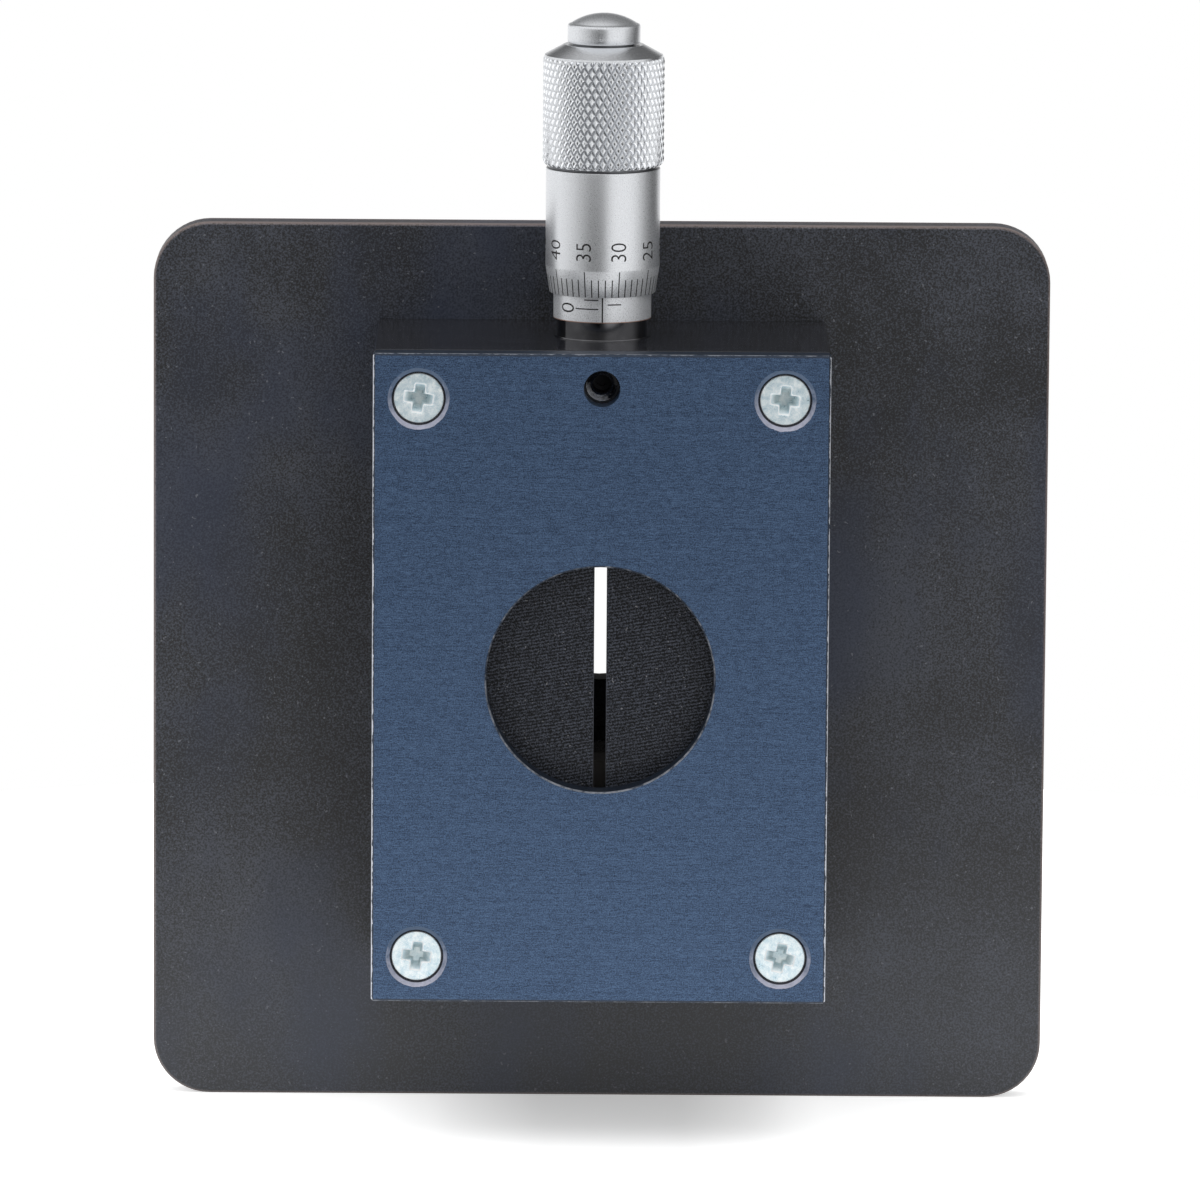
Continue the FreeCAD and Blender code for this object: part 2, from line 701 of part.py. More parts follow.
def makeCarriage():
    body = addBody("cam_carriage")
    half, halfBoss = carriageWidth / 2, size.bossWidth / 2
    outline = addSketch(body, "CarriageOutline", "XZ_Plane", carriageRear)
    drawProfile(outline, [
        (-half, carriageBottom), (half, carriageBottom), (half, carriageTop), (halfBoss, carriageTop),
        (halfBoss, bossTop), (-halfBoss, bossTop), (-halfBoss, carriageTop), (-half, carriageTop)])
    addPad(body, outline, carriageThickness)
    front = carriageRear + carriageThickness
    window = addSketch(body, "CarriageWindow", "XZ_Plane", front)
    halfWide, halfTall = size.carriageWindowWidth / 2, size.carriageWindowHeight / 2
    drawRectangle(window, -halfWide, -halfTall, halfWide, halfTall)
    addPocket(body, window, carriageThickness)
    # each slot leans so that its jaw moves half as far sideways as the carriage moves up
    for side, word in ((-1, "Left"), (1, "Right")):
        slot = addSketch(body, word + "Slot", "XZ_Plane", front)
        start = (side * (size.pinSpacing / 2 - size.slotOverrun / 2), size.slotOverrun)
        end = (side * (size.pinSpacing / 2 + size.maxOpening / 2 + size.slotOverrun / 2),
               -size.maxOpening - size.slotOverrun)
        drawSlot(slot, start, end, size.pinDiameter + 2 * size.pinRoom)
        addPocket(body, slot, carriageThickness)
    springs = addSketch(body, "CarriageSpringSeats", "XY_Plane", springSeatTop)
    for side in (-1, 1):
        drawCircle(springs, side * size.springSpacing / 2, -spindleDepth, size.springPocket)
    addPocket(body, springs, size.springPocketDepth)
    seat = addSketch(body, "ButtonSeat", "XY_Plane", bossTop)
    drawCircle(seat, 0, -spindleDepth, size.buttonDiameter + 2 * size.seatRoom)
    addPocket(body, seat, size.buttonSeatDepth)
    placeAt(body, z=size.restReading)
    return body


def makeTurned(name, profile, rides=False, dome=None):
    # turned piece of the micrometer head, drawn as half a section about the spindle's axis
    body = addBody(name)
    sketch = addSketch(body, name + "Section", "XZ_Plane")
    drawProfile(sketch, profile, dome)
    addTurning(body, sketch)
    placeAt(body, y=-spindleDepth)
    if rides:
        placeAt(body, z=size.restReading)
    return body


def makeMicrometer():
    stem, neck = size.stemDiameter / 2, size.neckDiameter / 2
    barrel, shaft = size.barrelDiameter / 2, size.spindleDiameter / 2
    thread = size.threadDiameter / 2
    threadBore = blockTop + size.threadBoreRise
    makeTurned("micrometer_barrel", [
        (shaft + size.spindleRoom, stemBottom), (stem, stemBottom), (stem, blockTop),
        (neck, blockTop), (neck, sleeveBottom), (barrel, sleeveBottom), (barrel, barrelTop),
        (thread + size.spindleRoom, barrelTop), (thread + size.spindleRoom, threadBore),
        (shaft + size.spindleRoom, threadBore)])
    sleeve = size.sleeveDiameter / 2
    sleeveTop = sleeveBottom + size.sleeveLength
    makeTurned("graduated_sleeve", [
        (barrel + size.seatRoom, sleeveBottom), (sleeve, sleeveBottom),
        (sleeve, sleeveTop), (barrel + size.seatRoom, sleeveTop)])
    nutTop = barrelTop - size.nutDrop
    makeTurned("adjusting_nut", [
        (barrel + size.seatRoom, nutTop - size.nutHeight), (size.nutDiameter / 2, nutTop - size.nutHeight),
        (size.nutDiameter / 2, nutTop), (barrel + size.seatRoom, nutTop)])
    collar, stub = size.collarDiameter / 2, size.stubDiameter / 2
    stubTop = crownTop + size.stubReach
    threadStart = blockTop + size.threadRise
    collarBottom = thimbleCeiling - size.collarHeight
    makeTurned("spindle", [
        (0, buttonTop + size.spindleRoom), (shaft, buttonTop + size.spindleRoom), (shaft, threadStart),
        (thread, threadStart), (thread, collarBottom), (collar, collarBottom), (collar, thimbleCeiling),
        (stub, thimbleCeiling), (stub, stubTop), (0, stubTop)], True)
    bore = sleeve + size.thimbleBoreRoom
    plain, knurl = size.thimbleDiameter / 2, size.knurlDiameter / 2
    makeTurned("thimble", [
        (bore, zeroLine), (size.thimbleEdgeDiameter / 2, zeroLine), (plain, zeroLine + size.skirtLength),
        (plain, knurlStart), (knurl, knurlStart + size.knurlStep), (knurl, knurlEnd - size.knurlEndRun),
        (knurl - size.knurlEndStep, knurlEnd), (size.crownDiameter / 2, crownTop),
        (stub + size.seatRoom, crownTop),
        (stub + size.seatRoom, thimbleCeiling), (bore, thimbleCeiling)], True)
    cap, rim = size.capDiameter / 2, crownTop + size.capHeight
    shoulder = 3
    makeTurned("thimble_cap", [
        (stub + size.seatRoom, crownTop), (cap, crownTop), (cap, rim - size.capBreak),
        (cap - size.capBreak, rim), (0, rim + size.capDomeHeight),
        (0, stubTop + size.seatRoom), (stub + size.seatRoom, stubTop + size.seatRoom)], True, shoulder)


def makeContactButton():
    body = addBody("contact_button")
    outline = addSketch(body, "ButtonOutline", "XY_Plane", bossTop - size.buttonSeatDepth)
    drawCircle(outline, 0, -spindleDepth, size.buttonDiameter)
    addPad(body, outline, size.buttonThickness)
    placeAt(body, z=size.restReading)
    return body


def makeSpring(word, side):
    # coil spring between the block's seat and the carriage's, as long as the reading at rest leaves it
    bottom = springSeatBottom.value + size.springEndRoom.value
    top = springSeatTop.value + size.restReading.value - size.springEndRoom.value
    wire = size.springWire.value
    radius = (size.springOuter.value - wire) / 2
    pitch = (top - bottom - wire) / size.springTurns.value
    coil = Part.makeHelix(pitch, top - bottom - wire, radius)
    section = Part.Wire(Part.makeCircle(wire / 2, Vector(radius, 0, 0), Vector(0, 1, 0)))
    node = doc.addObject("Part::Feature", word + "_return_spring")
    node.Label = word + "_return_spring"
    node.Shape = Part.Wire(coil.Edges).makePipeShell([section], True, True)
    node.Placement = Placement(
        Vector(side * size.springSpacing.value / 2, -spindleDepth.value, bottom + wire / 2), Rotation())
    nodes.append(node)
    return node


makeBasePlate()
makeBodyBlock()
makeFrontCover()
makeFasteners()
makeClampScrew()
makeRail("upper_rail", 1)
makeRail("lower_rail", -1)
for side, word in ((-1, "left"), (1, "right")):
    makeCarrier(word, side)
    makeBlade(word, side)
    makeCamPin(word, side)
    makeSpring(word, side)
makeCarriage()
makeContactButton()
makeMicrometer()
doc.recompute()


def checkFeatures():
    for item in doc.Objects:
        if "Invalid" in item.State or "Error" in item.State:
            raise RuntimeError(f"{item.Name} did not compute: {item.State}")
        if item.TypeId in ("PartDesign::Pocket", "PartDesign::Groove"):
            if item.Shape.Volume >= item.BaseFeature.Shape.Volume - 1e-6:
                raise RuntimeError(f"{item.Name} removes nothing")
    for node in nodes:
        if node.Shape.isNull() or not node.Shape.isValid() or not node.Shape.Solids:
            raise RuntimeError(f"{node.Label} has no valid shape")


checkFeatures()
os.makedirs("parts", exist_ok=True)
for node in nodes:
    node.Shape.exportStep(os.path.join("parts", node.Label + ".step"))
    print(node.Label, len(node.Shape.Solids), "solids", round(node.Shape.Volume, 1), "mm3")
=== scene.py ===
import math
import bmesh
import bpy
from mathutils import Matrix, Vector


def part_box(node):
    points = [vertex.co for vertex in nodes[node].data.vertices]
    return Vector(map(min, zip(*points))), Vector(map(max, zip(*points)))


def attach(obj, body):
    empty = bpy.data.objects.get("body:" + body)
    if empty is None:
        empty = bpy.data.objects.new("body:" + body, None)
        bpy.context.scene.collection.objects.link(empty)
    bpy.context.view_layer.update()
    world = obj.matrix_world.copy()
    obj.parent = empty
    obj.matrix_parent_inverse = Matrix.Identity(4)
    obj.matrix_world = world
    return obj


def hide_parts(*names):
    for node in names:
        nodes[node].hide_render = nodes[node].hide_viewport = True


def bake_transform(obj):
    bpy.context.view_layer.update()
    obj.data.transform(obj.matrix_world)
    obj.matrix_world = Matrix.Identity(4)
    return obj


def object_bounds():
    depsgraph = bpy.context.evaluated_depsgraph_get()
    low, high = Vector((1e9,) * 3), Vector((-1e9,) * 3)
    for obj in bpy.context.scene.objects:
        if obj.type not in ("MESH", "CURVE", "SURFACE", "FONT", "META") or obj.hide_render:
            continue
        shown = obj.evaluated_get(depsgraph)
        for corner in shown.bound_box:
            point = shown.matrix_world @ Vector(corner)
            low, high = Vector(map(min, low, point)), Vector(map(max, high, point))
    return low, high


# Variable slit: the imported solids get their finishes, and the micrometer head's knurl and scales, the cover's
# screws and the springs are modelled. Sizes in the dictionaries are millimetres, and the scene is in metres.

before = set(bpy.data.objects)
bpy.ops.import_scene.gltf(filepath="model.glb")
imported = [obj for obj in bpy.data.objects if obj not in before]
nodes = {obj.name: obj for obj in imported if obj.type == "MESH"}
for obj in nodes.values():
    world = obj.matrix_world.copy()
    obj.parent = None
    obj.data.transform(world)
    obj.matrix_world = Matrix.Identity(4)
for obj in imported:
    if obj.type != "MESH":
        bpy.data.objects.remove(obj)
cadBox = [list(corner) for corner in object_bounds()]
mm = 0.001
noiseRange = (0.3, 0.7)         # a noise texture mostly lies between these
roundSteps = 96                 # mesh steps round a plain turned piece


def tint(red, green, blue):
    # a colour as seen, 0 to 255 a channel, turned into the linear values that shaders take
    def linear(channel):
        share = channel / 255
        return share / 12.92 if share <= 0.04045 else ((share + 0.055) / 1.055) ** 2.4
    return (linear(red), linear(green), linear(blue), 1.0)


def grey(level):
    return (level, level, level, 1.0)


class Wire:
    # one output of a node; sums on it add Math nodes
    def __init__(self, finish, socket):
        self.finish = finish
        self.socket = socket

    def sum(self, operation, first, second=None):
        values = {0: first} if second is None else {0: first, 1: second}
        return self.finish.add("ShaderNodeMath", {"operation": operation}, values)

    def __add__(self, other):
        return self.sum("ADD", self, other)

    def __sub__(self, other):
        return self.sum("SUBTRACT", self, other)

    def __mul__(self, other):
        return self.sum("MULTIPLY", self, other)

    def __truediv__(self, other):
        return self.sum("DIVIDE", self, other)

    def __pow__(self, other):
        return self.sum("POWER", self, other)

    def __abs__(self):
        return self.sum("ABSOLUTE", self)

    def above(self, level):
        return self.sum("GREATER_THAN", self, level)

    def below(self, level):
        return self.sum("LESS_THAN", self, level)

    def atLeast(self, other):
        return self.sum("MAXIMUM", self, other)


class Finish:
    # the node tree of one material or of the world
    def __init__(self, tree):
        self.tree = tree

    def add(self, kind, settings=None, values=None, output=0):
        # makes a node, gives it its settings first, then the values or wires of its sockets
        node = self.tree.nodes.new(kind)
        for key, setting in (settings or {}).items():
            if key == "stops":
                self.setStops(node.color_ramp, setting)
            else:
                setattr(node, key, setting)
        for key, value in (values or {}).items():
            if isinstance(value, Wire):
                self.tree.links.new(value.socket, node.inputs[key])
            else:
                node.inputs[key].default_value = value
        return Wire(self, node.outputs[output]) if len(node.outputs) else None

    def setStops(self, ramp, stops):
        while len(ramp.elements) < len(stops):
            ramp.elements.new(1.0)
        for element, (place, colour) in zip(ramp.elements, stops):
            element.position = place
            element.color = colour

    def place(self, scale=(1, 1, 1), turn=(0, 0, 0)):
        # object coordinates, stretched by a scale per axis
        coordinates = self.add("ShaderNodeTexCoord", output=3)
        return self.add("ShaderNodeMapping", {}, {"Vector": coordinates, "Rotation": turn, "Scale": scale})

    def axes(self):
        # the three object coordinates in millimetres
        split = self.add("ShaderNodeSeparateXYZ", {}, {"Vector": self.place((1000, 1000, 1000))})
        outputs = split.socket.node.outputs
        return [Wire(self, outputs[number]) for number in range(3)]

    def noise(self, vector, scale=1.0, detail=2.0, roughness=0.5):
        return self.add("ShaderNodeTexNoise", {},
                        {"Vector": vector, "Scale": scale, "Detail": detail, "Roughness": roughness})

    def speckle(self, size, detail, roughness):
        # even noise with features of a size in millimetres
        return self.noise(self.place(), 1000 / size, detail, roughness)

    def spread(self, value, low, high, toLow=0.0, toHigh=1.0):
        # moves a value's range onto another, held at both ends
        limits = {"From Min": low, "From Max": high, "To Min": toLow, "To Max": toHigh}
        return self.add("ShaderNodeMapRange", {"clamp": True}, {"Value": value, **limits})

    def mix(self, share, first, second):
        return self.add("ShaderNodeMix", {"data_type": "RGBA"}, {0: share, 6: first, 7: second}, output=2)

    def bump(self, height, strength, depth):
        return self.add("ShaderNodeBump", {}, {"Height": height, "Strength": strength, "Distance": depth})


class Coat(Finish):
    # a material with its main shader
    def __init__(self, name, **constants):
        self.material = bpy.data.materials.new(name)
        self.material.use_nodes = True
        super().__init__(self.material.node_tree)
        self.shader = self.tree.nodes["Principled BSDF"]
        for key, value in constants.items():
            self.shader.inputs[key.replace("_", " ")].default_value = value

    def feed(self, key, value):
        self.tree.links.new(value.socket, self.shader.inputs[key])


plateLook = {
    "deep": tint(0, 0, 2),
    "paleFrom": (0.447, 0.587),     # where the mixed noise turns from deep to pale
    "pale": tint(64, 68, 78),
    "cloud": tint(32, 42, 64),
    # specks of dust, and painted bounce light low down on the plate
    "dustAndBounceLight": tint(112, 115, 122),
    "bare": tint(128, 113, 108),
    "blotchSize": 21,
    "grainSize": 0.22,
    "smearSize": 5,
    "cloudSize": 17,
    "cloudFrom": (0.48, 0.68),
    "cloudShare": 0.6,
    "speckSize": 0.42,
    "speckLevel": 0.765,        # noise level above which a speck of dust shows
    "speckShare": 0.6,
    "bounceLitHeights": (-20, -46),     # painted bounce light from the floor: paler more and more between these heights
    "bounceLitShare": 0.13,
    "roughness": (0.4, 0.55),
    "edge": (49.72, 49.22, 2.8),    # half width, half height and drop of the unrubbed face
    "cornerRadius": 6.02,
    "rubbedFrom": (-0.02, 0.2),     # millimetres past the unrubbed face
    "rubbedDepths": (-1.1, -0.3),   # millimetres from the nearer face
    "rubbedShares": (0.08, 0.6),
    "thickness": 4,
    "holePlace": 1.8,
    "holeRadius": 6.5,
    "holeDullness": 0.45,
}


def anodisedPlate():
    look = plateLook
    coat = Coat("black_anodised_plate", Specular_IOR_Level=0.6)
    blotches = coat.speckle(look["blotchSize"], 4, 0.6)
    grain = coat.speckle(look["grainSize"], 3, 0.65)
    smears = coat.noise(coat.place((1, 1, 0.2)), 1000 / look["smearSize"], 3, 0.6)
    share = coat.spread(blotches * 0.25 + grain * 0.7 + smears * 0.05, *look["paleFrom"])
    clouds = coat.noise(coat.place((1, 1, 0.6)), 1000 / look["cloudSize"], 3, 0.55)
    clouded = coat.spread(clouds, *look["cloudFrom"], 0.0, look["cloudShare"])
    colour = coat.mix(clouded, coat.mix(share, look["deep"], look["pale"]), look["cloud"])
    x, y, z = coat.axes()
    specks = coat.speckle(look["speckSize"], 1, 0.4).above(look["speckLevel"]) * look["speckShare"]
    # painted bounce light from the floor: the plate turns paler towards the bottom
    bounceLit = coat.spread(z, *look["bounceLitHeights"], 0.0, look["bounceLitShare"])
    colour = coat.mix(specks.atLeast(bounceLit), colour, look["dustAndBounceLight"])
    # the black is rubbed thin along the outline's broken edges
    radius = look["cornerRadius"]
    overX = (abs(x) - (look["edge"][0] - radius)).atLeast(0)
    overZ = (abs(z + look["edge"][2]) - (look["edge"][1] - radius)).atLeast(0)
    outline = (overX * overX + overZ * overZ) ** 0.5 - radius
    toEdge = abs(y + look["thickness"] / 2) - look["thickness"] / 2
    rubbed = coat.spread(outline + (grain - 0.5) * 0.3, *look["rubbedFrom"])
    rubbed = rubbed * coat.spread(toEdge, *look["rubbedDepths"], *look["rubbedShares"])
    # the light hole's wall is dull
    up = z - look["holePlace"]
    hole = ((x * x + up * up) ** 0.5).below(look["holeRadius"] + 0.1)
    coat.feed("Base Color", coat.mix(hole, coat.mix(rubbed, colour, look["bare"]), look["deep"]))
    roughness = coat.spread(blotches + grain * 0.3, 0.4, 0.95, *look["roughness"])
    coat.feed("Roughness", roughness + hole * look["holeDullness"])
    coat.feed("Normal", coat.bump(grain, 0.12, 0.02 * mm))
    return coat.material


blockLook = {
    "black": tint(18, 18, 21),
    "worn": tint(36, 37, 42),
    # bare metal at the clamp hole's mouth, drawn as a painted highlight
    "bare": tint(228, 228, 230),
    "roughness": (0.09, 0.15),
    "grainSize": 0.35,
    "streaks": (90, 2600, 2600),    # noise scales along the three axes
    "clampMouth": 1.72,         # radius of the clamp screw's hole where it was cut bare
    "clampBareDepth": 0.42,
    "bareLitFrom": (0.55, 1.5),
    "wornFrom": (0.42, 0.6),
}


def anodisedBlock(clampPlace):
    look = blockLook
    coat = Coat("black_anodised_block", Specular_IOR_Level=0.5)
    x, y, z = coat.axes()
    fine = coat.speckle(look["grainSize"], 3, 0.6)
    streaks = coat.noise(coat.place(look["streaks"]), 1.0, 2, 0.5)
    # the clamp screw's tapped hole was cut after the block was blackened; its bare mouth shows only as a bright
    # crescent on the lower left, a painted highlight where the light falls
    up = z - clampPlace[2] / mm
    mouth = ((x * x + up * up) ** 0.5).below(look["clampMouth"])
    mouth = mouth * y.below(clampPlace[1] / mm + look["clampBareDepth"])
    bare = mouth * coat.spread((fine - 0.5) * 1.6 - up * 0.85 - x * 0.55, *look["bareLitFrom"])
    worn = coat.spread(fine * 0.7 + streaks * 0.3, *look["wornFrom"])
    black = coat.mix(worn, look["black"], look["worn"])
    coat.feed("Base Color", coat.mix(bare, black, look["bare"]))
    coat.feed("Metallic", bare * 0.5)
    coat.feed("Roughness", coat.spread(streaks, *noiseRange, *look["roughness"]) + bare * 0.2)
    coat.feed("Normal", coat.bump(fine + streaks * 0.6, 0.10, 0.02 * mm))
    return coat.material


coverLook = {
    "blue": tint(82, 106, 138),
    "deepBlue": tint(38, 54, 78),
    "bare": tint(200, 204, 212),
    "edgeBlack": tint(40, 44, 52),
    # painted shadow, with some dirt, round the screw heads
    "paintedShade": tint(14, 15, 18),
    # painted shade at the top of each countersink cone, painted light at its bottom
    "coneShadedTop": tint(92, 106, 128),
    "coneLitBottom": tint(196, 196, 212),
    "screwPlace": (20, 31),
    "screwMouth": 3.38,
    "edge": (24.8, 35.8),       # where the broken edges begin
    "edgeDepth": 0.3,
    "lineLength": 0.75,
    "lineWidth": 0.075,
    "longLines": (60, 60, 4000),    # noise scales along the three axes
    "grainSize": 0.13,
    "wearSize": 1.1,
    "paintedShadeRadius": 2.96,          # painted shadow, with some dirt, in the gap round the screw heads
    "holeRadius": 12.5,
    "chamfer": 0.16,
    "brushedFrom": (0.39, 0.61),
    "coneFrom": (-1.5, 3.4),
    "rimWearFrom": (0.42, 0.62),
    "metallic": (0.6, 0.9),
    "roughness": (0.36, 0.5),
}


def brushedCover(front):
    look = coverLook
    coat = Coat("blue_brushed_cover", Specular_IOR_Level=0.5)
    x, y, z = coat.axes()
    stretch = (1000 / look["lineLength"], 1000 / look["lineLength"], 1000 / look["lineWidth"])
    lines = coat.noise(coat.place(stretch), 1.0, 2, 0.6)
    longLines = coat.noise(coat.place(look["longLines"]), 1.0, 2, 0.5)
    grain = coat.speckle(look["grainSize"], 1, 0.6)
    wear = coat.speckle(look["wearSize"], 3, 0.7)
    brushed = coat.spread(lines * 0.38 + longLines * 0.1 + grain * 0.52, *look["brushedFrom"])
    blue = coat.mix(brushed, look["deepBlue"], look["blue"])
    # the countersinks cut through the colour, and their cones carry painted light and shade: darker at the top,
    # lighter at the bottom
    fromScrewX = abs(x) - look["screwPlace"][0]
    fromScrewZ = z - (z.above(0) * 2 - 1) * look["screwPlace"][1]
    fromScrew = (fromScrewX * fromScrewX + fromScrewZ * fromScrewZ) ** 0.5
    ring = (fromScrew + (wear - 0.5) * 0.3).below(look["screwMouth"])
    # painted shadow, with some dirt, in the gap round each screw head
    paintedShade = fromScrew.below(look["paintedShadeRadius"])
    lit = coat.spread((wear - 0.5) * 7 - fromScrewZ, *look["coneFrom"])
    cone = coat.mix(lit, look["coneShadedTop"], look["coneLitBottom"])
    # the front's broken edges and the aperture's rim are rubbed bare in places
    uneven = (wear - 0.5) * 0.5
    pastSide, pastEnd = abs(x) - look["edge"][0], abs(z) - look["edge"][1]
    sides, ends = (pastSide + uneven).above(0.1), (pastEnd + uneven).above(0.16)
    hole = ((x * x + z * z) ** 0.5).below(look["holeRadius"] + look["chamfer"])
    rimWear = coat.spread(wear - z * 0.006, *look["rimWearFrom"])
    bare = sides.atLeast(ends * 0.3).atLeast(hole * rimWear * 0.45)
    bare = bare * y.below(front / mm + look["edgeDepth"])
    dark = pastSide.atLeast(pastEnd).above(-0.06).atLeast(hole)
    colour = coat.mix(ring, coat.mix(dark * 0.8, blue, look["edgeBlack"]), cone)
    colour = coat.mix(paintedShade * 0.92, colour, look["paintedShade"])
    coat.feed("Base Color", coat.mix(bare, colour, look["bare"]))
    coat.feed("Metallic", coat.spread(bare.atLeast(ring), 0.0, 1.0, *look["metallic"]))
    coat.feed("Roughness", coat.spread(lines, *noiseRange, *look["roughness"]))
    coat.feed("Normal", coat.bump(lines * 0.7 + grain * 0.3, 0.2, 0.02 * mm))
    return coat.material


bladeLook = {
    "black": tint(4, 5, 7),
    "line": tint(70, 74, 84),
    # painted highlight along the knife edges
    "edge": tint(62, 64, 70),
    "speck": tint(130, 130, 134),
    "lineSpacing": 0.37,
    "slant": -0.17,
    "wander": (180, 180, 500),  # noise scales of the lines' unevenness
    "grainSize": 0.17,
    "speckSize": 0.3,
    "speckLevel": 0.76,
    "edgeHighlightWidth": 0.07,
    "lineFrom": (0.57, 0.77),
    "roughness": (0.38, 0.55),
}


def tooledBlade(side, edgePlace):
    look = bladeLook
    coat = Coat("blackened_blade_" + ("left" if side < 0 else "right"), Specular_IOR_Level=0.2)
    x, _, z = coat.axes()
    wander = coat.noise(coat.place(look["wander"]), 1.0, 3, 0.6)
    phase = (z + x * look["slant"] + wander * 0.35) * (2 * math.pi / look["lineSpacing"])
    lines = coat.add("ShaderNodeMath", {"operation": "SINE"}, {0: phase}) * 0.5 + 0.5
    grain = coat.speckle(look["grainSize"], 3, 0.7)
    share = coat.spread(lines * 0.14 + grain * 1.1, *look["lineFrom"])
    # painted highlight: a lighter strip along each ground knife edge
    edgeHighlight = (abs(x) - abs(edgePlace / mm)).below(look["edgeHighlightWidth"])
    specks = coat.speckle(look["speckSize"], 1, 0.4).above(look["speckLevel"])
    colour = coat.mix(specks * 0.7, coat.mix(share, look["black"], look["line"]), look["speck"])
    colour = coat.mix(edgeHighlight, colour, look["edge"])
    coat.feed("Base Color", colour)
    coat.feed("Roughness", coat.spread(grain, *noiseRange, *look["roughness"]))
    coat.feed("Metallic", edgeHighlight * 0.5)
    coat.feed("Normal", coat.bump(lines + grain * 0.5, 0.35, 0.015 * mm))
    return coat.material


chromeLook = {
    "satin": (0.9, 0.92, 0.95, 1.0),
    "shade": (0.64, 0.655, 0.68, 1.0),
    "grainSize": 0.1,
    "rings": (20, 20, 1000 / 0.11),     # noise scales of the turning lines
    "roughness": (0.25, 0.36),
    "rim": tint(150, 98, 66),   # warm line along the sleeve's lower edge
    "paintedShade": tint(52, 54, 58),    # shadow grooves and the bottom of the knurl
    "grooveRadii": (6.4, 6.53),
    "grooveStop": 0.3,          # the knurl's upper end has no painted shade in its grooves
    "rimHeight": 0.09,
    "undercutShadow": 0.28,
    "capShadow": (-0.1, 0.22),
}


def satinChrome(name, turned=0.3, metallic=0.86, knurlFrom=None, rimBelow=None, paintedShade=None, mattBelow=0):
    # turned is how much the turning lines show against the even grain; heights are in metres
    look = chromeLook
    coat = Coat(name, Metallic=metallic)
    x, y, z = coat.axes()
    grain = coat.speckle(look["grainSize"], 3, 0.7)
    rings = coat.noise(coat.place(look["rings"]), 1.0, 2, 0.5)
    colour = coat.mix(coat.spread(grain, *noiseRange), look["shade"], look["satin"])
    if rimBelow is not None:
        colour = coat.mix(z.below(rimBelow / mm) * 0.85, colour, look["rim"])
    # painted shade over a span of heights
    if paintedShade is not None:
        colour = coat.mix(z.above(paintedShade[0] / mm) * z.below(paintedShade[1] / mm) * 0.85, colour, look["paintedShade"])
    roughness = coat.spread(grain, *noiseRange, *look["roughness"])
    if knurlFrom is not None:
        knurled = z.above(knurlFrom / mm)
        roughness = roughness - knurled * 0.1
        coat.feed("Metallic", knurled * 0.06 + metallic - z.below(mattBelow / mm) * 0.2)
        # painted shade: the knurl's grooves are darker than its points
        x, y = x - spindleAxis[0] / mm, y - spindleAxis[1] / mm
        grooveShade = coat.spread((x * x + y * y) ** 0.5, *look["grooveRadii"], 1.0, 0.0) * knurled
        grooveShade = grooveShade * z.below(knurlFrom / mm + thimbleSizes["knurlLength"] - look["grooveStop"])
        colour = coat.mix(grooveShade * 0.2, colour, look["paintedShade"])
    coat.feed("Base Color", colour)
    coat.feed("Roughness", roughness)
    coat.feed("Normal", coat.bump(grain * (1 - turned) + rings * turned, 0.22, 0.02 * mm))
    return coat.material


neckLook = {
    "dark": (0.03, 0.03, 0.034, 1.0),
    "light": (0.22, 0.22, 0.23, 1.0),
    "rings": (12, 12, 10000),
    "smearSize": 2.5,
    "roughness": (0.08, 0.14),
}


def polishedChrome():
    look = neckLook
    coat = Coat("polished_chrome", Metallic=1.0)
    rings = coat.noise(coat.place(look["rings"]), 1.0, 2, 0.5)
    smears = coat.speckle(look["smearSize"], 3, 0.6)
    coat.feed("Base Color", coat.mix(smears, look["dark"], look["light"]))
    coat.feed("Roughness", coat.spread(smears + rings * 0.2, 0.35, 0.85, *look["roughness"]))
    coat.feed("Normal", coat.bump(rings, 0.05, 0.01 * mm))
    return coat.material


inkLook = {"black": tint(18, 17, 18), "faded": tint(46, 43, 44), "grainSize": 0.08, "roughness": (0.5, 0.7)}


def scaleInk():
    look = inkLook
    coat = Coat("black_scale_ink", Specular_IOR_Level=0.12)
    grain = coat.speckle(look["grainSize"], 2, 0.5)
    coat.feed("Base Color", coat.mix(grain, look["black"], look["faded"]))
    coat.feed("Roughness", coat.spread(grain, *noiseRange, *look["roughness"]))
    return coat.material


zincLook = {
    "pale": (0.92, 0.99, 1.0, 1.0),
    "dull": (0.52, 0.69, 0.77, 1.0),
    # dirt and painted shade deeper in the driver recess
    "grimeAndShade": tint(138, 150, 148),
    "patchSize": 0.9,
    "grainSize": 0.12,
    "wornAndLitDepths": (0.03, 0.2),      # the driver recess's worn edge, also painted as a highlight
    "grimeAndShadeDepths": (0.2, 0.7),
    "paleFrom": (0.36, 0.62),
    "roughness": (0.26, 0.44),
}


def zincPlate(name, recessFrom=None):
    look = zincLook
    coat = Coat(name, Metallic=0.5)
    patches = coat.speckle(look["patchSize"], 4, 0.65)
    grain = coat.speckle(look["grainSize"], 3, 0.6)
    share = coat.spread(patches * 0.7 + grain * 0.3, *look["paleFrom"])
    colour = coat.mix(share, look["dull"], look["pale"])
    if recessFrom is not None:
        # greyer deeper in the driver recess, dirt and painted shade; its worn edge is also a painted highlight
        depth = coat.axes()[1] - recessFrom / mm + (grain - 0.5) * 0.2
        colour = coat.mix(coat.spread(depth, *look["grimeAndShadeDepths"]) * 0.4, colour, look["grimeAndShade"])
        worn = depth.above(look["wornAndLitDepths"][0]) * depth.below(look["wornAndLitDepths"][1])
        colour = coat.mix(worn * 0.8, colour, grey(1.0))
    coat.feed("Base Color", colour)
    coat.feed("Roughness", coat.spread(patches, *noiseRange, *look["roughness"]))
    coat.feed("Normal", coat.bump(grain + patches * 0.5, 0.22, 0.02 * mm))
    return coat.material


